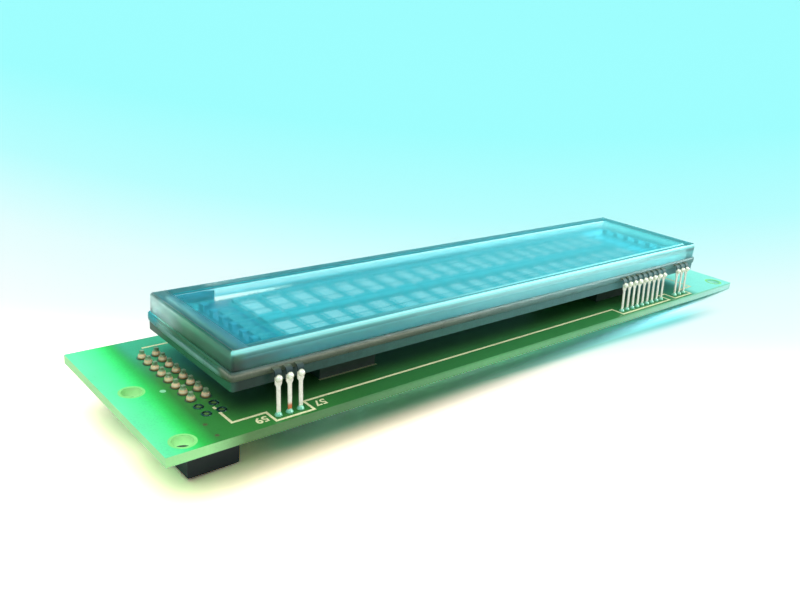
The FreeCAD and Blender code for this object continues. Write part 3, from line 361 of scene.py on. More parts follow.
# %% Small parts
for name, colour, roughness, look, node in (
    ("pin_plating", (150, 176, 140), 0.5, {"metal": 0.2}, "header_pins"),
    ("ferrite", (52, 52, 56), 0.7, {"bump": 0.6}, "transformer_core"),
    ("winding_tape", (228, 186, 64), 0.35, {"cloud": 120.0}, "transformer_winding"),
    ("can_aluminium", (222, 224, 226), 0.3, {"metal": 0.9, "contrast": 0.1}, "can_capacitors"),
    ("resistor_glaze", (38, 38, 42), 0.25, {}, "chip_resistors"),
    ("capacitor_ceramic", (170, 134, 92), 0.45, {}, "chip_capacitors"),
    ("resonator_coat", (200, 146, 60), 0.35, {}, "resonator"),
):
    dress(make_finish(name, colour, roughness, **look), node)
black_moulding = make_finish("black_moulding", (26, 30, 30), 0.45, contrast=0.12, bump=0.4)
dress(black_moulding, "header_body", "transformer_bobbin", "can_bases")
tinned_metal = make_finish("tinned_metal", (120, 150, 150), 0.3, metal=0.9)
dress(tinned_metal, "controller_leads", "buffer_leads", "transformer_terminals", "regulator_leads")
chip_moulding = make_finish("chip_moulding", (44, 44, 46), 0.6, grain=6000.0, bump=0.6)
dress(chip_moulding, "controller_chip", "buffer_chip", "regulator_body", "rectifier_diodes")
foam_rubber = make_finish("foam_rubber", (40, 62, 44), 0.95, cloud=900.0, contrast=0.5, bump=1.0)
dress(foam_rubber, "foam_pad_left", "foam_pad_right")
print("small parts dressed")

# %% [markdown]
# ## The board
# The board is glass fibre under a green solder mask. Where it has copper inside it
# is dark, and the strip at the header end has none, so it is a paler green, with a
# painted glow for the light that comes through it. The far end gets a painted glow
# too, and the part under the tube gets painted light that lightens its shade. The
# cut edges show the bare fibre. A texture could be painted for this, but a few
# masks do it too: the place along the board tells the strip, the copper and the
# part under the tube from each other, and the height tells the edges.

# %% Colours of the board, with painted glow and painted light
STRIP_SLANT = -0.04
STRIP_MIDDLE = 12
STRIP_WIDTH = 10
# The strip's paler green with a painted glow, fading into the copper.
STRIP_GLOW_COLOURS = shades(
    (0.0, 118, 255, 186), (0.35, 90, 255, 158), (0.5, 66, 244, 120), (0.64, 54, 204, 82),
    (0.86, 56, 138, 62),
)
COPPER_COLOURS = shades((0.0, 60, 140, 62), (0.25, 46, 112, 54), (1.0, 52, 134, 70))
# A painted glow at the far end, painted light under the tube, and a teal-green patch at the back left.
FAR_END_PAINTED_GLOW = screen(150, 252, 232)
UNDER_TUBE_PAINTED_LIGHT = screen(62, 128, 62)
BACK_LEFT = screen(70, 186, 138)


def paint_solder_mask(canvas):
    """Strip and far end with painted glow, copper, painted light under the tube, a back-left patch."""
    slanted = canvas.calculate("MULTIPLY_ADD", canvas.axis("Y"), STRIP_SLANT, canvas.axis("X"))
    start = coordinate("X", 0) + STRIP_SLANT * coordinate("Y", STRIP_MIDDLE)
    return canvas.layers(
        canvas.colours(slanted, start, start + STRIP_WIDTH * MM, STRIP_GLOW_COLOURS),
        (("X", 12, 6), canvas.fade("X", 10, 110, COPPER_COLOURS)),
        (("X", 137.5, 5), FAR_END_PAINTED_GLOW),
        (canvas.all_of(("X", 13, 5), ("Y", 5, 4), ("X", 138, -5)), UNDER_TUBE_PAINTED_LIGHT),
        (canvas.all_of(("Y", 27, 16), ("X", 8.5, 3), ("X", 20, -8)), BACK_LEFT),
    )


# %% Colours of the cut edge, with painted glow and painted shade
EDGE_BAND = 0.02
EDGE_SHADE = (0.5, 0.85, 0.68, 1)
# The cut edges give off a faint painted glow as emission.
EDGE_PAINTED_GLOW = screen(150, 200, 110)
EDGE_PAINTED_GLOW_STRENGTH = 0.1
# The fibre's colours along the board carry a painted glow, brightest at both ends.
FIBRE_GLOW_AND_SHADE = shades(
    (0.04, 176, 252, 170), (0.08, 80, 122, 74), (0.2, 72, 124, 82), (0.42, 96, 176, 118),
    (0.65, 102, 180, 130), (0.75, 150, 214, 176), (0.98, 196, 252, 244),
)


def paint_fibre(canvas):
    """Bare fibre with painted glow along the board, and painted shade near its upper rim past the
    corner.
    """
    fibre = canvas.fade("X", 0, BOARD_LENGTH, FIBRE_GLOW_AND_SHADE)
    near_rim = canvas.all_of(("Z", -0.35, 0.5), ("X", 32, 12))
    return canvas.blend(near_rim, fibre, canvas.times(fibre, EDGE_SHADE))


# %% Material of the board


def make_board_material():
    material, canvas = new_material(
        "solder_mask", Roughness=0.4, Specular_IOR_Level=0.25, Emission_Strength=EDGE_PAINTED_GLOW_STRENGTH
    )
    on_face = canvas.past("Z", -EDGE_BAND, EDGE_BAND)
    above_back = canvas.past("Z", EDGE_BAND - BOARD_THICKNESS, EDGE_BAND)
    on_edge = canvas.calculate("SUBTRACT", above_back, on_face, clamp=True)
    colour = canvas.blend(on_edge, paint_solder_mask(canvas), paint_fibre(canvas))
    paint_mottled(canvas, colour, bump=0.3, Cloud_Scale=180.0, Contrast=0.25)
    # Only the cut edges give off the painted glow.
    canvas.set(Emission_Color=canvas.blend(on_edge, BLACK, EDGE_PAINTED_GLOW))
    return material


dress(make_board_material(), "circuit_board")
print("the board fades through", len(STRIP_GLOW_COLOURS), "greens at the header end")

# %% [markdown]
# ## Pieces made in the scene
# A new piece is built as a bmesh, in millimetres from the corner of the board, and
# then moved to its place as a whole, so that the object itself stays at the
# origin. It rides on the one body that the model has.

# %% Helpers for new pieces
SEAM = 1e-4


def add_piece(bm, name, material, smooth=False):
    """Turn a bmesh in board millimetres into a piece of the model."""
    to_scene = Matrix.Translation(board_corner) @ Matrix.Scale(MM, 4)
    bmesh.ops.transform(bm, verts=bm.verts, matrix=to_scene)
    mesh = bpy.data.meshes.new(name)
    bm.to_mesh(mesh)
    bm.free()
    mesh.materials.append(material)
    if smooth:
        mesh.shade_smooth()
    piece = bpy.data.objects.new(name, mesh)
    scene.collection.objects.link(piece)
    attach(piece, "root")
    print(f"{name}: {len(mesh.polygons)} faces")
    return piece


def tidy(bm):
    """Close seams and poles, and turn every face outwards."""
    bmesh.ops.remove_doubles(bm, verts=bm.verts, dist=SEAM)
    bmesh.ops.recalc_face_normals(bm, faces=bm.faces)


def add_turned(bm, profile, middle, steps=20):
    """Spin a profile of (radius, height) points about the upright through middle."""
    points = [bm.verts.new((middle[0] + radius, middle[1], height)) for radius, height in profile]
    edges = [bm.edges.new(pair) for pair in zip(points, points[1:])]
    bmesh.ops.spin(
        bm, geom=points + edges, cent=(*middle, 0), axis=(0, 0, 1),
        angle=math.tau, steps=steps, use_merge=True,
    )


def make_turned(name, turns, material):
    """A piece of several turned shapes, each given as (profile, middle)."""
    bm = bmesh.new()
    for profile, middle in turns:
        add_turned(bm, profile, middle)
    tidy(bm)
    return add_piece(bm, name, material, smooth=True)


def make_blocks(name, blocks, material):
    """A piece of several blocks, each given as (middle, size) in millimetres."""
    bm = bmesh.new()
    for middle, size in blocks:
        place = Matrix.Translation(middle) @ Matrix.Diagonal((*size, 1))
        bmesh.ops.create_cube(bm, size=1.0, matrix=place)
    return add_piece(bm, name, material)


# %% [markdown]
# ## Solder beads round the header posts
# Molten solder climbs a post and pulls itself into a rounded bead, tall and full
# here because the holes were flooded. A bead is a turned shape: a profile that
# bulges at the foot and closes round the post, spun about the post's axis. Its
# colour follows its height: painted shade makes it dull brown at the foot, a
# painted highlight makes it pale at the belly, and it is greenish under the post's tip.

# %% Header beads
PIN_PITCH = 2.54
FIRST_PIN = Vector((11.55 - PIN_PITCH / 2, 13.16))
PIN_COLUMNS, PIN_ROWS = 2, 8
BEAD_HEIGHT = 1.05
BEAD_UNEVEN = 0.1
BEAD_TURN = 2.3
BEAD_PROFILE = [
    (0.0, 0.01), (0.68, 0.01), (0.72, 0.14), (0.71, 0.38),
    (0.62, 0.68), (0.44, 0.92), (0.2, 1.0), (0.0, 1.02),
]
# Painted shade at the foot and a painted highlight at the belly.
BEAD_SHADE_AND_HIGHLIGHT = shades(
    (0.0, 140, 118, 70), (0.2, 226, 178, 124), (0.42, 255, 238, 208), (0.65, 255, 214, 164),
    (0.85, 132, 160, 116),
)


def paint_bead_shade_and_highlight(canvas):
    return canvas.fade("Z", 0, BEAD_HEIGHT, BEAD_SHADE_AND_HIGHLIGHT)


solder_metal = make_finish("solder_metal", paint_bead_shade_and_highlight, 0.3, cloud=900.0, contrast=0.35)
header_pins = [
    (FIRST_PIN.x + column * PIN_PITCH, FIRST_PIN.y + row * PIN_PITCH)
    for column in range(PIN_COLUMNS)
    for row in range(PIN_ROWS)
]


def bead_profile(count):
    height = 1 + BEAD_UNEVEN * math.sin(count * BEAD_TURN)
    return [(radius, level * height) for radius, level in BEAD_PROFILE]


beads = [(bead_profile(count), pin) for count, pin in enumerate(header_pins)]
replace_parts(make_turned("solder_beads", beads, solder_metal), "header_solder")

# %% [markdown]
# ## Solder joints of the leads
# Round each lead the solder makes a concave fillet, on both faces of the board.
# The profile is the same idea as the bead, but hollow-sided and lower.

# %% Lead joints
LEAD_PITCH = 2.0
LEAD_Y = 2.0
TUBE_RIGHT = 140.2
FIRST_LEAD_X = TUBE_RIGHT - 5.2
FAR_LEADS = (14, 13, 12, 11, 10, 9, 8, 7, 6, 3, 2, 1)
lead_places = [19.0, 21.0, 23.0]
lead_places += [FIRST_LEAD_X - (number - 1) * LEAD_PITCH for number in FAR_LEADS]
JOINT_PROFILE = [
    (0.0, 0.005), (0.6, 0.005), (0.61, 0.1), (0.55, 0.25),
    (0.46, 0.42), (0.37, 0.54), (0.22, 0.61), (0.0, 0.63),
]
pale_solder = make_finish("pale_solder", (140, 216, 184), 0.3, metal=0.1, cloud=900.0)
underside = [(radius, -BOARD_THICKNESS - level) for radius, level in JOINT_PROFILE]
joints = [(profile, (x, LEAD_Y)) for x in lead_places for profile in (JOINT_PROFILE, underside)]
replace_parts(make_turned("lead_joints", joints, pale_solder), "lead_solder")

# %% [markdown]
# ## The leads
# The leads are thin alloy strips. Where they leave the seal a film of fired glass
# covers them, at the shoulder the bare alloy is dark, and further down they were
# dipped in solder, so they are creamy white. One lead's foot shows copper. The
# place along the lead decides between the finishes, and the mottle shades them.

# %% Material of the leads
DIP_LINE = 6.3
SEAL_LINE = 2.8
FOOT_LINE = 1.5
DIPPED = screen(255, 255, 236)
BARE_ALLOY = screen(36, 58, 58)
BARE_ALLOY_FAR = screen(92, 118, 116)
GLASS_FILM = screen(98, 108, 90)
COPPER = screen(226, 132, 84)
DIPPED_ROUGHNESS, BARE_ROUGHNESS = 0.35, 0.7


def make_lead_material(name, foot):
    material, canvas = new_material(name, Metallic=0.2, Specular_IOR_Level=0.3)
    above = canvas.past("Z", DIP_LINE, 0.3)
    colour = canvas.layers(
        DIPPED,
        (above, canvas.blend(("X", 70, 20), BARE_ALLOY, BARE_ALLOY_FAR)),
        (("Y", SEAL_LINE, 0.6), GLASS_FILM),
        (("Z", FOOT_LINE, -0.7), foot),
    )
    paint_mottled(canvas, colour, Cloud_Scale=1500.0, Contrast=0.3)
    canvas.set(Roughness=canvas.scaled(above, To_Min=DIPPED_ROUGHNESS, To_Max=BARE_ROUGHNESS))
    return material


lead_names = [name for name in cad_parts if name.startswith("lead_") and name != "lead_solder"]
dress(make_lead_material("dipped_lead", DIPPED), *lead_names)
dress(make_lead_material("coppery_lead", COPPER), "lead_58")
print(len(lead_names), "leads dressed")

# %% [markdown]
# ## Glass
# The cover is clear moulded glass. A Principled BSDF with full transmission bends
# the light as the real one does. The top is polished, and the walls are frosted
# and darker, by the direction of their true normal. The walls' tints are painted
# reflections of the board and the table, so they change with the height, and at
# the left end with the place from front to back.

# %% Painted reflections on the walls
WALL_FOOT, WALL_HEAD = 7.6, 11.0
END_FRONT, END_BACK = 4, 32
NEAR_WALL_REFLECTIONS = shades(
    (0.0, 165, 246, 248), (0.3, 130, 226, 219), (0.53, 133, 205, 194), (0.66, 97, 163, 158),
    (0.72, 35, 75, 69), (0.84, 51, 108, 101), (0.94, 72, 133, 125),
)
FAR_WALL_REFLECTIONS = shades(
    (0.0, 178, 248, 250), (0.53, 186, 250, 244), (0.66, 135, 172, 168), (0.72, 127, 144, 139),
    (0.83, 147, 183, 178), (0.92, 136, 175, 170),
)
BACK_WALL_LIGHT = screen(246, 254, 255)
END_WALL_LOW_REFLECTIONS = shades(
    (0.04, 66, 120, 84), (0.4, 46, 128, 70), (0.54, 78, 158, 94), (0.6, 140, 190, 142),
    (0.7, 200, 230, 196), (0.9, 230, 242, 220), (0.97, 147, 153, 139),
)
END_WALL_HIGH_REFLECTIONS = shades(
    (0.04, 60, 116, 80), (0.4, 46, 128, 70), (0.54, 84, 160, 100), (0.68, 143, 177, 148),
    (0.9, 176, 190, 171), (1.0, 160, 172, 156),
)
CORNER_SHADE = (1.0, 0.61, 0.44, 1)


# The walls' painted reflections, with painted shade in the low corner at the left.
def paint_wall_reflections(canvas):
    near_wall = canvas.fade("Z", WALL_FOOT, WALL_HEAD, NEAR_WALL_REFLECTIONS)
    wall = canvas.blend(("X", 56, 42), near_wall, canvas.fade("Z", WALL_FOOT, WALL_HEAD, FAR_WALL_REFLECTIONS))
    low_end = canvas.fade("Y", END_FRONT, END_BACK, END_WALL_LOW_REFLECTIONS)
    high_end = canvas.fade("Y", END_FRONT, END_BACK, END_WALL_HIGH_REFLECTIONS)
    return canvas.layers(
        wall,
        (canvas.all_of(("X", 20, -8), ("Z", 9.7, -0.8)), canvas.times(wall, CORNER_SHADE)),
        (("Y", 28.5, 2), BACK_WALL_LIGHT),
        (("X", 14, -2), canvas.blend(("Z", 9.7, 2), low_end, high_end)),
    )


# %% [markdown]
# The roof is almost clear. Its front and left strips, which lie over the walls,
# are a little deeper, and so is the narrow rounding where it turns down.

# %% Tints of the roof
CLEAR = screen(220, 249, 252)
FRONT_STRIP = screen(182, 247, 250)
LEFT_STRIP = screen(176, 240, 250)
ROUNDING = screen(168, 230, 236)
LEVEL, LEVEL_SOFTNESS = 0.993, 0.006


def paint_roof(canvas, upright):
    near_left = canvas.past("X", 14.8, -1)
    roof = canvas.layers(CLEAR, (("Y", 6.5, -2), FRONT_STRIP), (near_left, LEFT_STRIP))
    rounding = canvas.blend(near_left, ROUNDING, WHITE)
    return canvas.blend(canvas.step(upright, LEVEL, LEVEL_SOFTNESS), rounding, roof)


# %% [markdown]
# The rounded edge gets a painted highlight, given off as emission, for light that
# glass carries along to its edges: most at the front, less at the back, and some
# painted light low on the left end. Emission is kept to the outside of the wall,
# off the top.

# %% Painted highlights at the edges
EDGE_HIGHLIGHT_STRENGTH = 0.85
FRONT_EDGE_HIGHLIGHT = screen(138, 226, 222)
BACK_EDGE_HIGHLIGHT = screen(44, 112, 112)
LEFT_END_PAINTED_LIGHT = screen(104, 127, 121)


# Painted highlights on the rounded edge, and painted light low on the left end.
def paint_edge_highlights(canvas, on_top, inside, facing):
    outside = canvas.calculate("SUBTRACT", 1.0, inside)
    rounding = canvas.all_of(canvas.calculate("SUBTRACT", 1.0, on_top), outside, ("Z", 10.65, 0.7))
    facing_left = canvas.step(facing["X"], -0.4, -0.2)
    left_back = canvas.all_of(outside, facing_left, ("Y", 22.5, 4), ("Y", 30.5, -1), ("Z", 9.9, -1.6))
    return canvas.layers(
        BLACK,
        (left_back, LEFT_END_PAINTED_LIGHT),
        (canvas.all_of(rounding, canvas.step(facing["Y"], -0.15, -0.1)), FRONT_EDGE_HIGHLIGHT),
        (canvas.all_of(rounding, canvas.step(facing["Y"], 0.15, 0.1)), BACK_EDGE_HIGHLIGHT),
    )


# %% [markdown]
# Light that only has to pass through, on its way from a lamp to what lies inside,
# is let through straight: the Light Path node swaps in a Transparent BSDF for
# shadow rays.

# %% Material of the cover
WALL_ROUGHNESS, TOP_ROUGHNESS = 0.45, 0.09


def make_cover_material():
    material, canvas = new_material(
        "cover_glass", IOR=1.5, Transmission_Weight=1.0, Emission_Strength=EDGE_HIGHLIGHT_STRENGTH
    )
    surface = canvas.add("ShaderNodeNewGeometry").outputs
    facing = canvas.split(surface["True Normal"])
    upright = canvas.calculate("ABSOLUTE", facing["Z"])
    on_top = canvas.step(upright, 0.85, 0.1)
    colour = canvas.blend(on_top, paint_wall_reflections(canvas), paint_roof(canvas, upright))
    polished = canvas.all_of(on_top, ("X", 15.0, 2))
    canvas.set(
        Base_Color=colour,
        Roughness=canvas.scaled(polished, To_Min=WALL_ROUGHNESS, To_Max=TOP_ROUGHNESS),
        Emission_Color=paint_edge_highlights(canvas, on_top, surface["Backfacing"], facing),
    )
    clear = canvas.add("ShaderNodeBsdfTransparent", Color=colour)
    shadow = canvas.add("ShaderNodeLightPath").outputs["Is Shadow Ray"]
    canvas.end_with(shadow, canvas.shader.outputs["BSDF"], clear.outputs["BSDF"])
    return material


dress(make_cover_material(), "front_glass")

# %% [markdown]
# The plate is thick, dark green glass. Its upper face is covered by thin printed
# wiring, which looks teal under the sky. Its sides carry painted shade and a
# painted reflection of the sky: nearly black at the header end and paler further
# along, where more of the sky is mirrored.

# %% Material of the plate
PLATE_TOP = 7.27
WIRING_DEPTH, WIRING_SOFTNESS = 0.03, 0.02
# Painted shade and a painted reflection of the sky on the sides.
PLATE_SIDE_SHADE_AND_SKY = shades(
    (0.0, 52, 100, 82), (0.01, 30, 54, 44), (0.4, 54, 112, 100), (1.0, 90, 146, 148),
)
WIRING_COLOURS = shades((0.0, 22, 84, 112), (0.5, 26, 110, 130), (1.0, 90, 220, 236))


def make_plate_material():
    material, canvas = new_material("plate_glass", Roughness=0.3, Specular_IOR_Level=0.25)
    sides = canvas.fade("X", 12, 120, PLATE_SIDE_SHADE_AND_SKY)
    wiring = canvas.fade("X", 15, 140, WIRING_COLOURS)
    on_top = ("Z", PLATE_TOP - WIRING_DEPTH, WIRING_SOFTNESS)
    paint_mottled(canvas, canvas.blend(on_top, sides, wiring), Cloud_Scale=500.0, Contrast=0.4)
    return material


dress(make_plate_material(), "base_glass", "exhaust_tip")

# %% [markdown]
# ## The seal
# Glass powder was laid between plate and cover and fired, and it crept out as a
# lumpy round bead. It is brown at the front, with painted shade that darkens its
# top. At the left end, where it also sagged, it is painted green in front and grey
# behind, the same painted reflection that the end wall has. A round bead is what a
# curve with a bevel gives: the curve runs once round the tube, its section is
# stretched upwards, and smooth noise makes it lumpy.

# %% Colours of the fired bead, with painted shade and painted reflection
FRONT_FRIT = shades(
    (0.0, 84, 98, 80), (0.4, 92, 104, 86), (0.53, 103, 117, 97), (0.66, 134, 140, 122),
    (0.8, 102, 116, 102), (0.93, 66, 92, 84),
)
FAR_FRIT = screen(108, 156, 152)
# At the left end: a painted reflection, green in front and grey behind.
END_FRIT_LOW = screen(120, 164, 160)
END_FRIT_NEAR = screen(56, 106, 80)
END_FRIT_FAR = screen(126, 176, 164)
BACK_FRIT = screen(62, 166, 174)


def paint_frit(canvas):
    upper_end = canvas.blend(("Y", 24, 6), END_FRIT_NEAR, END_FRIT_FAR)
    end = canvas.blend(("Z", 7.0, 0.3), END_FRIT_LOW, upper_end)
    return canvas.layers(
        canvas.fade("Z", 6.5, 8.0, FRONT_FRIT),
        (("X", 72, 60), FAR_FRIT),
        (canvas.all_of(("X", 13.4, -1.6), ("Y", 7, 2)), end),
        (("Y", 28, 2), BACK_FRIT),
    )


frit = make_finish(
    "frit", paint_frit, 0.4, cloud=400.0, contrast=0.5, bump=1.0, Specular_IOR_Level=0.2
)

# %% Line of the bead round the tube
TUBE_LEFT = 12.0
TUBE_FRONT, TUBE_BACK = 3.8, 31.8
CORNER_RADIUS = 0.6
CORNER_TURNS = (0, 30, 60, 90)
STEP_MM = 1.0


def straight_between(first, last):
    """The places between two points, without the two."""
    count = max(1, round((last - first).length / STEP_MM))
    return [first.lerp(last, number / count) for number in range(1, count)]


def round_the_tube():
    """Points of a rounded rectangle along the tube's outline, one after another."""
    left, right_side = TUBE_LEFT + CORNER_RADIUS, TUBE_RIGHT - CORNER_RADIUS
    front, back = TUBE_FRONT + CORNER_RADIUS, TUBE_BACK - CORNER_RADIUS
    turns = ((right_side, front, -90), (right_side, back, 0), (left, back, 90), (left, front, 180))
    points = []
    for x, y, start in turns:
        angles = [math.radians(start + turned) for turned in CORNER_TURNS]
        arc = [
            Vector((x, y)) + CORNER_RADIUS * Vector((math.cos(angle), math.sin(angle)))
            for angle in angles
        ]
        if points:
            points += straight_between(points[-1], arc[0])
        points += arc
    return points + straight_between(points[-1], points[0])


def add_swept(bm, points, level, depth):
    """Add a round bar along closed points, made from a curve with a bevel."""
    curve = bpy.data.curves.new("sweep", "CURVE")
    curve.dimensions = "3D"
    curve.bevel_depth = depth
    curve.bevel_resolution = 3
    spline = curve.splines.new("POLY")
    spline.points.add(len(points) - 1)
    for point, place in zip(spline.points, points):
        point.co = (place.x, place.y, level, 1)
    spline.use_cyclic_u = True
    add_from(bm, curve)


def add_from(bm, curve):
    """Add the mesh of a curve to a bmesh."""
    holder = bpy.data.objects.new(curve.name, curve)
    bm.from_mesh(bpy.data.meshes.new_from_object(holder))
    bpy.data.objects.remove(holder)


# %% The fired bead
BEAD_LEVEL = 7.22
BEAD_REACH = 0.3
BEAD_STRETCH, STRETCH_CHANGE = 2.4, 0.5
CORE_REACH = 0.1
LUMP_MM = 0.09
COARSE_LUMPS, FINE_LUMPS = 0.5, 1.7
END_SAG = 0.6
MERGE_MM = 1e-3


def copy_in_board_mm(node):
    """A merged copy of a CAD node, in millimetres from the corner of the board."""
    bm = bmesh.new()
    bm.from_mesh(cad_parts[node].data)
    to_board = Matrix.Scale(1 / MM, 4) @ Matrix.Translation(-board_corner)
    bmesh.ops.transform(bm, verts=bm.verts, matrix=to_board)
    bmesh.ops.remove_doubles(bm, verts=bm.verts, dist=MERGE_MM)
    return bm


def make_seal_bead():
    bm = copy_in_board_mm("frit_seal")
    for vert in bm.verts:
        vert.co.x = min(max(vert.co.x, TUBE_LEFT - CORE_REACH), TUBE_RIGHT + CORE_REACH)
        vert.co.y = min(max(vert.co.y, TUBE_FRONT - CORE_REACH), TUBE_BACK + CORE_REACH)
    core = set(bm.verts)
    add_swept(bm, round_the_tube(), BEAD_LEVEL, BEAD_REACH)
    bead = [vert for vert in bm.verts if vert not in core]
    for vert in bead:
        lump = noise.noise(vert.co * COARSE_LUMPS) + 0.5 * noise.noise(vert.co * FINE_LUMPS)
        stretch = BEAD_STRETCH + STRETCH_CHANGE * lump
        vert.co.z = BEAD_LEVEL + (vert.co.z - BEAD_LEVEL) * stretch + LUMP_MM * lump
        if vert.co.x < TUBE_LEFT + CORNER_RADIUS:
            along = (vert.co.y - TUBE_FRONT) / (TUBE_BACK - TUBE_FRONT)
            vert.co.z -= END_SAG * math.sin(math.pi * min(max(along, 0), 1)) ** 0.5
    tidy(bm)
    return add_piece(bm, "seal_bead", frit, smooth=True)


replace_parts(make_seal_bead(), "frit_seal")

# %% [markdown]
# ## Inside the tube
# The phosphor dots are printed on a dark layer, and an etched metal mesh bridges
# each column of characters. The CAD model has the fields and the frames. The dots
# and the mesh are added here: small flat blocks, five by seven for each character,
# and thin strips that cross each window.

# %% Materials inside the tube
phosphor = make_finish("phosphor", (250, 228, 224), 0.8, cloud=900.0, contrast=0.1)
mesh_metal = make_finish("mesh_metal", (132, 190, 196), 0.5)
grid_metal = make_finish("grid_metal", (62, 160, 168), 0.5, metal=0.2)
dress(grid_metal, "control_grids", "filament_support", "getter_strap", "getter_ring")
dress(make_finish("dark_layer", (30, 140, 150), 0.6), "insulation_layer")
dress(make_finish("field_colour", (164, 188, 190), 0.7), "dot_anodes")
dress(make_finish("anchor_metal", (32, 116, 142), 0.6), "filament_anchor")
dress(make_finish("wire_coat", (60, 150, 160), 0.7), "filaments")
dress(make_finish("silicon", (60, 120, 130), 0.2, cloud=900.0, contrast=0.6), "driver_chip")

# %% Dots of phosphor
CHAR_PITCH = 5.05
FIRST_CHAR_X = 27.725
CHAR_ROWS = (12.4, 23.2)
LAYER_TOP = PLATE_TOP + 0.06
FIELD_TOP = LAYER_TOP + 0.05
DOT_PITCH_X, DOT_PITCH_Y = 0.72, 1.04
DOT_SIZE = (0.58, 0.9, 0.03)
DOT_MIDDLE = FIELD_TOP + DOT_SIZE[2] / 2
characters = [(FIRST_CHAR_X + column * CHAR_PITCH, y) for column in range(20) for y in CHAR_ROWS]
dots = [
    ((x + across * DOT_PITCH_X, y + along * DOT_PITCH_Y, DOT_MIDDLE), DOT_SIZE)
    for x, y in characters
    for across in range(-2, 3)
    for along in range(-3, 4)
]
make_blocks("phosphor_dots", dots, phosphor)

# %% Mesh of the grids
MESH_LEVEL = LAYER_TOP + 0.63
MESH_PITCH = 0.42
MESH_WIDTH, MESH_THICKNESS = 0.045, 0.03
WINDOW = (4.05, 7.65)


def strip_places(width):
    """Places of the mesh's strips across a window, from its middle."""
    return [step * MESH_PITCH - width / 2 for step in range(1, round(width / MESH_PITCH))]


def wires_of(x, y):
    """The wires across one window, first those along y and then those along x."""
    wide, deep = WINDOW
    along_y, along_x = (MESH_WIDTH, deep, MESH_THICKNESS), (wide, MESH_WIDTH, MESH_THICKNESS)
    return [
        *(((x + place, y, MESH_LEVEL), along_y) for place in strip_places(wide)),
        *(((x, y + place, MESH_LEVEL), along_x) for place in strip_places(deep)),
    ]


wires = [wire for character in characters for wire in wires_of(*character)]
make_blocks("grid_mesh", wires, mesh_metal)

# %% [markdown]
# ## The getter's mirror
# When the tube was closed, the getter in the back left corner was fired, and its
# metal settled on the glass near it as a dark blue mirror. Two thin sheets stand
# for it, one on the wall and one under the roof. On the wall the mirror ends
# sharply, and on the roof the Alpha socket thins it out.

# %% Getter mirror
WALL_BACK_INSIDE = 31.65 - 1.8
WALL_LEFT_INSIDE = 12.15 + 1.8
ROOF_INSIDE = 11.37 - 1.6
MIRROR_START, MIRROR_END = WALL_LEFT_INSIDE + 0.8, 23.2
MIRROR_SHEET = 0.03
MIRROR_FOOT, MIRROR_HEAD = PLATE_TOP + 0.35, ROOF_INSIDE - 0.2
ROOF_MIRROR_BACK, ROOF_MIRROR_WIDTH = WALL_BACK_INSIDE - 0.6, 3.4
getter_mirror = make_finish(
    "getter_mirror", (20, 78, 112), 0.15, metal=0.6, cloud=200.0, contrast=0.4
)


def thin_out_the_mirror(material):
    canvas = Canvas(material.node_tree)
    on_wall = canvas.past("Y", WALL_BACK_INSIDE - 0.2, 0.1)
    on_roof = canvas.all_of(("Y", WALL_BACK_INSIDE - 2.4, 3.2), ("X", MIRROR_END - 2, -3))
    canvas.set(Alpha=canvas.calculate("MAXIMUM", on_wall, on_roof))


def mirror_sheets():
    length, height = MIRROR_END - MIRROR_START, MIRROR_HEAD - MIRROR_FOOT
    middle_x = MIRROR_START + length / 2
    wall = (middle_x, WALL_BACK_INSIDE - MIRROR_SHEET, MIRROR_FOOT + height / 2)
    roof = (middle_x, ROOF_MIRROR_BACK - ROOF_MIRROR_WIDTH / 2, ROOF_INSIDE - MIRROR_SHEET)
    return [
        (wall, (length, MIRROR_SHEET, height)),
        (roof, (length, ROOF_MIRROR_WIDTH, MIRROR_SHEET)),
    ]


thin_out_the_mirror(getter_mirror)
make_blocks("getter_mirror", mirror_sheets(), getter_mirror)

# %% [markdown]
# Where the mirror ends, the back wall is clear and bright, and the smooth foot of
# the seal gets a painted line of light, given off as emission. A slim cone along
# the wall has the shape of that foot, and its painted glow fades to the right.

# %% Painted light at the foot of the back wall
FOOT_LENGTH = 16.0
FOOT_RADII = (0.4, 0.1)
FOOT_GLOW_LENGTH = 14
FOOT_PAINTED_LIGHT = shades((0.0, 255, 214, 196), (0.45, 220, 176, 164), (1.0, 0, 0, 0))
# A cone that gives off painted light.
glowing_wall_foot = make_finish(
    "glowing_wall_foot", (255, 240, 226), 0.3, metal=0.3, cloud=2000.0, contrast=0.5, Emission_Strength=1.0
)


def paint_light_on_the_foot(material):
    canvas = Canvas(material.node_tree)
    glow = canvas.fade("X", MIRROR_END, MIRROR_END + FOOT_GLOW_LENGTH, FOOT_PAINTED_LIGHT)
    canvas.set(Emission_Color=glow)


def make_glowing_wall_foot():
    bm = bmesh.new()
    middle = (MIRROR_END + FOOT_LENGTH / 2, WALL_BACK_INSIDE - 0.3, PLATE_TOP + 0.42)
    place = Matrix.Translation(middle) @ Matrix.Rotation(math.pi / 2, 4, "Y")
    thick, thin = FOOT_RADII
    bmesh.ops.create_cone(
        bm, cap_ends=True, segments=12, radius1=thick, radius2=thin, depth=FOOT_LENGTH, matrix=place
    )
    return add_piece(bm, "glowing_wall_foot", glowing_wall_foot, smooth=True)


paint_light_on_the_foot(glowing_wall_foot)
make_glowing_wall_foot()

# %% [markdown]
# ## Solder on the shoulders of the leads
# The leads were dipped up to their shoulders, and where the dip ended the solder
# stayed as a thick round drop. Each drop is a sphere that encloses its lead.

# %% Dip drops
DROP_LEVEL = 6.05
DROP_SIZE = 1.2
LEAD_TOP_Y = 2.25
bright_solder = make_finish("bright_solder", (250, 252, 226), 0.25, metal=0.2, cloud=1500.0)


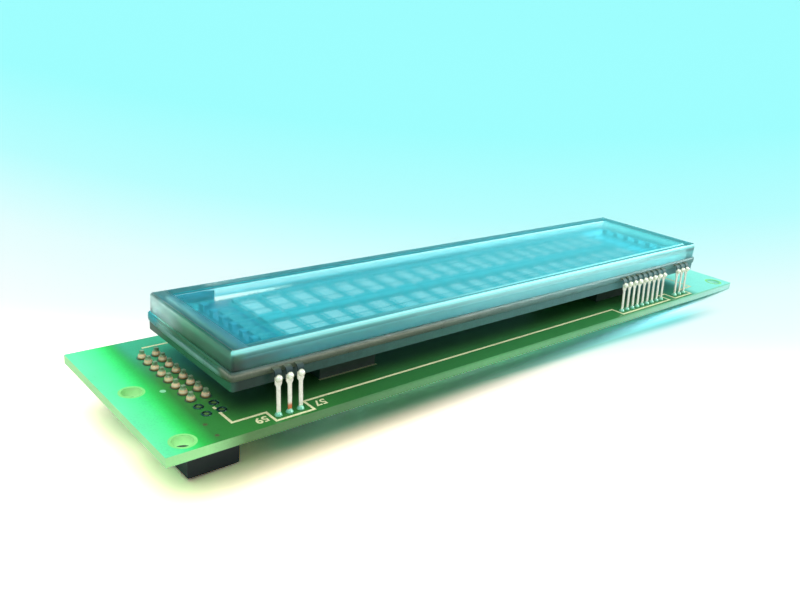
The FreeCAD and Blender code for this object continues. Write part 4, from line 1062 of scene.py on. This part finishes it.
def make_dip_drops():
    bm = bmesh.new()
    for x in lead_places:
        place = Matrix.Translation((x, LEAD_TOP_Y, DROP_LEVEL))
        bmesh.ops.create_uvsphere(bm, u_segments=20, v_segments=12, radius=DROP_SIZE / 2, matrix=place)
    return add_piece(bm, "dip_drops", bright_solder, smooth=True)


make_dip_drops()

# %% [markdown]
# ## The legend
# A pale legend is printed on the solder mask: a line along the tube's foot with a
# box round each group of leads, and pin numbers that read from the back. The lines
# are very thin blocks that lie on the mask. Lines along x lie a little higher, so
# that no two faces share a place where lines cross.

# %% Lines of the legend
legend_ink = make_finish("legend_ink", (240, 242, 190), 0.6, cloud=900.0, contrast=0.5)
INK_HEIGHT = 0.02
CROSSING_STEP = 0.004
LINE_WIDTH = 0.45
FRONT_LINE, BACK_LINE = 3.75, 34.7
LEFT_LINE, RIGHT_LINE = 12.1, 141.6
BOX_FRONT = 0.75
LEAD_BOXES = [(17.9, 24.75), (107.9, 127.0), (129.5, 136.6)]
OTHER_LINES = [
    ((LEFT_LINE, BACK_LINE), (RIGHT_LINE, BACK_LINE)),
    ((LEFT_LINE, FRONT_LINE), (LEFT_LINE, 7.2)),
    ((LEFT_LINE, 8.9), (LEFT_LINE, 9.2)),
    ((31.4, 8.67), (43.3, 8.67)),
]


def line(start, end):
    """The block of a printed line along x or y, from one corner to the next."""
    height = INK_HEIGHT if start[0] == end[0] else INK_HEIGHT + CROSSING_STEP
    middle = ((start[0] + end[0]) / 2, (start[1] + end[1]) / 2, height / 2)
    size = (abs(end[0] - start[0]) + LINE_WIDTH, abs(end[1] - start[1]) + LINE_WIDTH, height)
    return middle, size


corners = [(LEFT_LINE, FRONT_LINE)]
for left, right_side in LEAD_BOXES:
    corners += [(left, FRONT_LINE), (left, BOX_FRONT)]
    corners += [(right_side, BOX_FRONT), (right_side, FRONT_LINE)]
corners += [(RIGHT_LINE, FRONT_LINE), (RIGHT_LINE, BACK_LINE)]
lines = [line(start, end) for start, end in [*zip(corners, corners[1:]), *OTHER_LINES]]
make_blocks("legend_lines", lines, legend_ink)

# %% Pin numbers
NUMBER_SIZE = 2.2
NUMBER_TOP = 2.85
STROKE_GROWTH = 0.05


def add_number(text, right_x):
    """A printed number that reads from the back edge of the board."""
    curve = bpy.data.curves.new(f"number_{text}", "FONT")
    curve.body = text
    curve.size = NUMBER_SIZE
    curve.extrude = INK_HEIGHT / 2
    curve.offset = STROKE_GROWTH
    bm = bmesh.new()
    add_from(bm, curve)
    place = Matrix.Translation((right_x, NUMBER_TOP, INK_HEIGHT / 2))
    half_turn = Matrix.Rotation(math.pi, 4, "Z")
    bmesh.ops.transform(bm, verts=bm.verts, matrix=place @ half_turn)
    return add_piece(bm, f"number_{text}", legend_ink)


add_number("59", 17.3)
add_number("57", 27.9)

# %% [markdown]
# ## Pads and rings
# Round the mounting holes the mask is left open in a ring. A ring is two circles
# joined by a bridge. Each spare hole of the header has a rounded rim of solder,
# which is a turned shape again.

# %% Vias and spare pads
VIAS = [(8.6, 5.3), (8.6, 1.7)]
SPARE_PADS = [(8.0, 18.0)]
DISC_HEIGHT = 0.02
DISC_TAPER = 0.9
via_metal = make_finish("via_metal", (92, 104, 64), 0.4, metal=0.3)
pale_pad = make_finish("pale_pad", (150, 226, 176), 0.4)


def make_discs(name, places, radius, material):
    bm = bmesh.new()
    for x, y in places:
        bmesh.ops.create_cone(
            bm,
            cap_ends=True,
            segments=24,
            radius1=radius,
            radius2=radius * DISC_TAPER,
            depth=DISC_HEIGHT,
            matrix=Matrix.Translation((x, y, DISC_HEIGHT / 2)),
        )
    return add_piece(bm, name, material)


make_discs("vias", VIAS, 0.36, via_metal)
make_discs("spare_pads", SPARE_PADS, 0.5, pale_pad)

# %% Rings on the board
RING_HEIGHT = 0.015
HOLE_INSET = 3.85
MOUNT_HOLES = [(x, y) for x in (HOLE_INSET, BOARD_LENGTH - HOLE_INSET) for y in (2.8, 20.1)]
bare_fibre = make_finish("bare_fibre", (150, 244, 140), 0.6)


def add_ring(bm, middle, inner, outer):
    """A thin closed ring on the upper face of the board."""
    place = Matrix.Translation((middle[0], middle[1], 0))
    edges = []
    for radius in (inner, outer):
        circle = bmesh.ops.create_circle(bm, segments=32, radius=radius, matrix=place)
        edges += {edge for vert in circle["verts"] for edge in vert.link_edges}
    flat = bmesh.ops.bridge_loops(bm, edges=list(set(edges)))["faces"]
    raised = bmesh.ops.extrude_face_region(bm, geom=flat, use_keep_orig=True)
    moved = [item for item in raised["geom"] if isinstance(item, bmesh.types.BMVert)]
    bmesh.ops.translate(bm, verts=moved, vec=(0, 0, RING_HEIGHT))


def make_rings(name, places, inner, outer, material):
    bm = bmesh.new()
    for place in places:
        add_ring(bm, place, inner, outer)
    tidy(bm)
    return add_piece(bm, name, material)


make_rings("mount_rings", MOUNT_HOLES, 1.6, 2.05, bare_fibre)

# %% Rims of the spare holes
OPEN_HOLES = [
    (FIRST_PIN.x + column * PIN_PITCH, FIRST_PIN.y - row * PIN_PITCH)
    for column in range(PIN_COLUMNS)
    for row in (1, 2)
]
RIM_PROFILE = [(0.42, 0.0), (0.47, 0.08), (0.62, 0.13), (0.78, 0.08), (0.86, 0.0), (0.42, 0.0)]
hole_plating = make_finish(
    "hole_plating", (44, 78, 70), 0.12, metal=0.6, cloud=1200.0, contrast=0.6
)
rims = [(RIM_PROFILE, place) for place in OPEN_HOLES]
make_turned("hole_pads", rims, hole_plating)
plating = make_finish("plating", (84, 104, 92), 0.35, metal=0.5)
make_rings("pin_pads", header_pins, 0.72, 0.95, plating)

# %% [markdown]
# ## The table
# The module lies on its header and on the far edge of the board, so seen from the
# board the table slopes. The table top is a large plane through those two lines.

# %% Table top
HEADER_TOUCH = on_board(15.6, 0, -10.6)
EDGE_TOUCH = on_board(BOARD_LENGTH, 0, -BOARD_THICKNESS)
TABLE_GAP = 0.02 * MM
TABLE_REACH = 40.0
slope = math.atan2(EDGE_TOUCH.z - HEADER_TOUCH.z, EDGE_TOUCH.x - HEADER_TOUCH.x)


def make_table():
    bm = bmesh.new()
    middle = Matrix.Translation(HEADER_TOUCH - Vector((0, 0, TABLE_GAP)))
    place = middle @ Matrix.Rotation(-slope, 4, "Y")
    bmesh.ops.create_grid(bm, x_segments=1, y_segments=1, size=TABLE_REACH, matrix=place)
    mesh = bpy.data.meshes.new("table")
    bm.to_mesh(mesh)
    bm.free()
    table = bpy.data.objects.new("table", mesh)
    scene.collection.objects.link(table)
    return table


print(f"the table slopes by {math.degrees(slope):.2f} degrees")

# %% [markdown]
# The board lets some light through, so a painted tint lightens the shade beside
# it and makes it green, and cyan towards its far end. The tint follows the line of
# the shade on the table, and ends with the shade.

# %% Painted tint of the shade
SHADE_SLANT = 0.119
SHADE_LINE = coordinate("Y", 11.1) + SHADE_SLANT * coordinate("X", 0)
SHADE_START, SHADE_END = SHADE_LINE - 2 * MM, SHADE_LINE + 5.5 * MM
NEAR_SHADE = (0.43, 0.76, 0.8, 1)
FAR_SHADE = [
    (0.0, WHITE),
    (0.36, (0.43, 0.8, 0.75, 1)),
    (0.55, (0.55, 1.15, 1.15, 1)),
    (0.77, (1.2, 2.1, 2.4, 1)),
    (1.0, (3.4, 5.0, 6.5, 1)),
]
SHADE_CHANGE = [(0.0, (1.35, 1.35, 1.28, 1)), (1.0, (0.72, 0.93, 0.98, 1))]


def tint_of_the_shade(canvas):
    slanted = canvas.calculate("MULTIPLY_ADD", canvas.axis("X"), SHADE_SLANT, canvas.axis("Y"))
    far = canvas.colours(slanted, SHADE_START, SHADE_END, FAR_SHADE)
    far = canvas.times(far, canvas.fade("X", 65, 120, SHADE_CHANGE))
    in_shade = canvas.all_of(
        canvas.step(slanted, SHADE_LINE - 1.2 * MM, 3 * MM),
        canvas.step(slanted, SHADE_LINE + 7.5 * MM, -3 * MM),
        ("X", 22, 8),
        ("X", 133, -18),
    )
    return canvas.blend(in_shade, WHITE, canvas.blend(("X", 45, 50), NEAR_SHADE, far))


# %% [markdown]
# The colour of the table goes from white near the camera to pale cyan far away.
# Photographs like this one are overexposed in front, so rays that come straight
# from the eye see the near part brighter and the shade tinted, and all other rays
# see the plain table.

# %% Material of the table
NEAREST = 0.08
EYE_ASIDE = EYE.y * math.sin(YAW) - EYE.x * math.cos(YAW)
EYE_AHEAD = EYE.x * math.sin(YAW) + EYE.y * math.cos(YAW)
MIDDLE_ASIDE, MOST_ASIDE = 0.1, 0.7
SIDE_LIFT = 0.19
NEAR_FROM, NEAR_SOFTNESS = 0.62, 0.3
NEAR_GAIN = (2.9, 2.35, 1.8, 1)
TABLE_COLOURS = shades(
    (0.0, 157, 253, 253), (0.09, 158, 254, 254), (0.2, 159, 254, 254), (0.32, 184, 254, 254),
    (0.435, 228, 254, 254), (0.57, 250, 254, 254), (1.0, 254, 252, 252),
)


def any_ray(canvas, *kinds):
    """1 for a ray of one of the kinds, and 0 for the others."""
    path = canvas.add("ShaderNodeLightPath").outputs
    found = path[kinds[0]]
    for kind in kinds[1:]:
        found = canvas.calculate("MAXIMUM", found, path[kind])
    return found


def paint_table(canvas):
    """The colour of the table, and a mask for its near part."""
    turned = canvas.add(
        "ShaderNodeMapping",
        Vector=canvas.add("ShaderNodeTexCoord").outputs["Object"],
        Location=(EYE_ASIDE, -EYE_AHEAD, 0),
        Rotation=(0, 0, YAW),
    )
    place = canvas.split(turned.outputs["Vector"])
    distance = canvas.calculate("MAXIMUM", place["Y"], NEAREST)
    nearness = canvas.calculate("DIVIDE", NEAREST, distance)
    aside = canvas.calculate("DIVIDE", place["X"], distance)
    aside = canvas.calculate("SUBTRACT", aside, MIDDLE_ASIDE)
    limited = canvas.add("ShaderNodeClamp", Value=aside, Min=-MOST_ASIDE, Max=MOST_ASIDE)
    bend = canvas.all_of(limited.outputs["Result"], limited.outputs["Result"])
    lifted = canvas.calculate("MULTIPLY_ADD", bend, SIDE_LIFT, nearness)
    near = canvas.step(nearness, NEAR_FROM, NEAR_SOFTNESS)
    return canvas.colours(lifted, 0.0, 1.0, TABLE_COLOURS), near


def make_table_material():
    material, canvas = new_material("table_top")
    canvas.tree.nodes.remove(canvas.shader)
    colour, near = paint_table(canvas)
    straight = any_ray(canvas, "Is Camera Ray", "Is Transmission Ray")
    gain = canvas.blend(canvas.all_of(near, straight), WHITE, NEAR_GAIN)
    gain = canvas.times(gain, canvas.blend(straight, WHITE, tint_of_the_shade(canvas)))
    lit = canvas.add("ShaderNodeBsdfDiffuse", Color=canvas.times(colour, gain))
    clear = canvas.add("ShaderNodeBsdfTransparent")
    from_below = canvas.add("ShaderNodeNewGeometry").outputs["Backfacing"]
    canvas.end_with(from_below, lit.outputs["BSDF"], clear.outputs["BSDF"])
    return material


make_table().data.materials.append(make_table_material())

# %% [markdown]
# ## The sky and the lamps
# The room is bright and pale cyan behind the object and white overhead. The world
# shows that to the camera and to reflections. It lights the object with plain
# white that grows towards the zenith, so the shade under the board stays soft.
# One large lamp, nearly overhead, adds the rest. A second one stands in front and
# to the right and gives shine only, on the glass edge and the solder.

# %% World
ROOM_LOW, ROOM_HIGH = 0.04, 0.96
SKY_COLOURS = shades(
    (0.0, 159, 254, 254), (0.05, 159, 254, 254), (0.25, 112, 242, 252), (0.4, 80, 225, 236),
    (0.7, 130, 230, 238), (1.0, 235, 250, 252),
)


def make_world():
    world = bpy.data.worlds.new("room")
    scene.world = world
    world.use_nodes = True
    canvas = Canvas(world.node_tree)
    height = canvas.split(canvas.add("ShaderNodeTexCoord").outputs["Generated"])["Z"]
    seen = any_ray(canvas, "Is Camera Ray", "Is Transmission Ray", "Is Glossy Ray")
    sky = canvas.colours(height, 0.0, 1.0, SKY_COLOURS)
    room = canvas.scaled(canvas.all_of(height, height), To_Min=ROOM_LOW, To_Max=ROOM_HIGH)
    strength = canvas.add("ShaderNodeMix", data_type="FLOAT", Factor=seen, A=room, B=1.0)
    canvas.set(Color=canvas.blend(seen, WHITE, sky), Strength=strength.outputs["Result"])


make_world()

# %% Lamps
SUN_SHARE = 0.5
WINDOW_SPREAD, SHINE_SPREAD = 54, 35
SHINE_STRENGTH = 4.5


def add_sun(name, towards, spread, strength, only_shine=False):
    """A distant soft lamp; towards is the direction in which it stands."""
    data = bpy.data.lights.new(name, "SUN")
    data.angle = math.radians(spread)
    data.energy = strength
    lamp = bpy.data.objects.new(name, data)
    scene.collection.objects.link(lamp)
    lamp.visible_diffuse = not only_shine
    lamp.visible_transmission = not only_shine
    lamp.rotation_euler = (-Vector(towards)).to_track_quat("-Z", "Y").to_euler()
    print(f"{name}: strength {strength:.2f}, {spread} degrees wide")


window = Vector((-0.25, -0.32, 1.0)).normalized()
add_sun("window", window, WINDOW_SPREAD, SUN_SHARE * math.pi / window.z)
add_sun("front_shine", (0.72, -0.5, 0.45), SHINE_SPREAD, SHINE_STRENGTH, only_shine=True)

# %% [markdown]
# ## Last step
# The view transform is the plain one, so a colour renders as it is written.

# %% Finish
scene.view_settings.view_transform = "Standard"
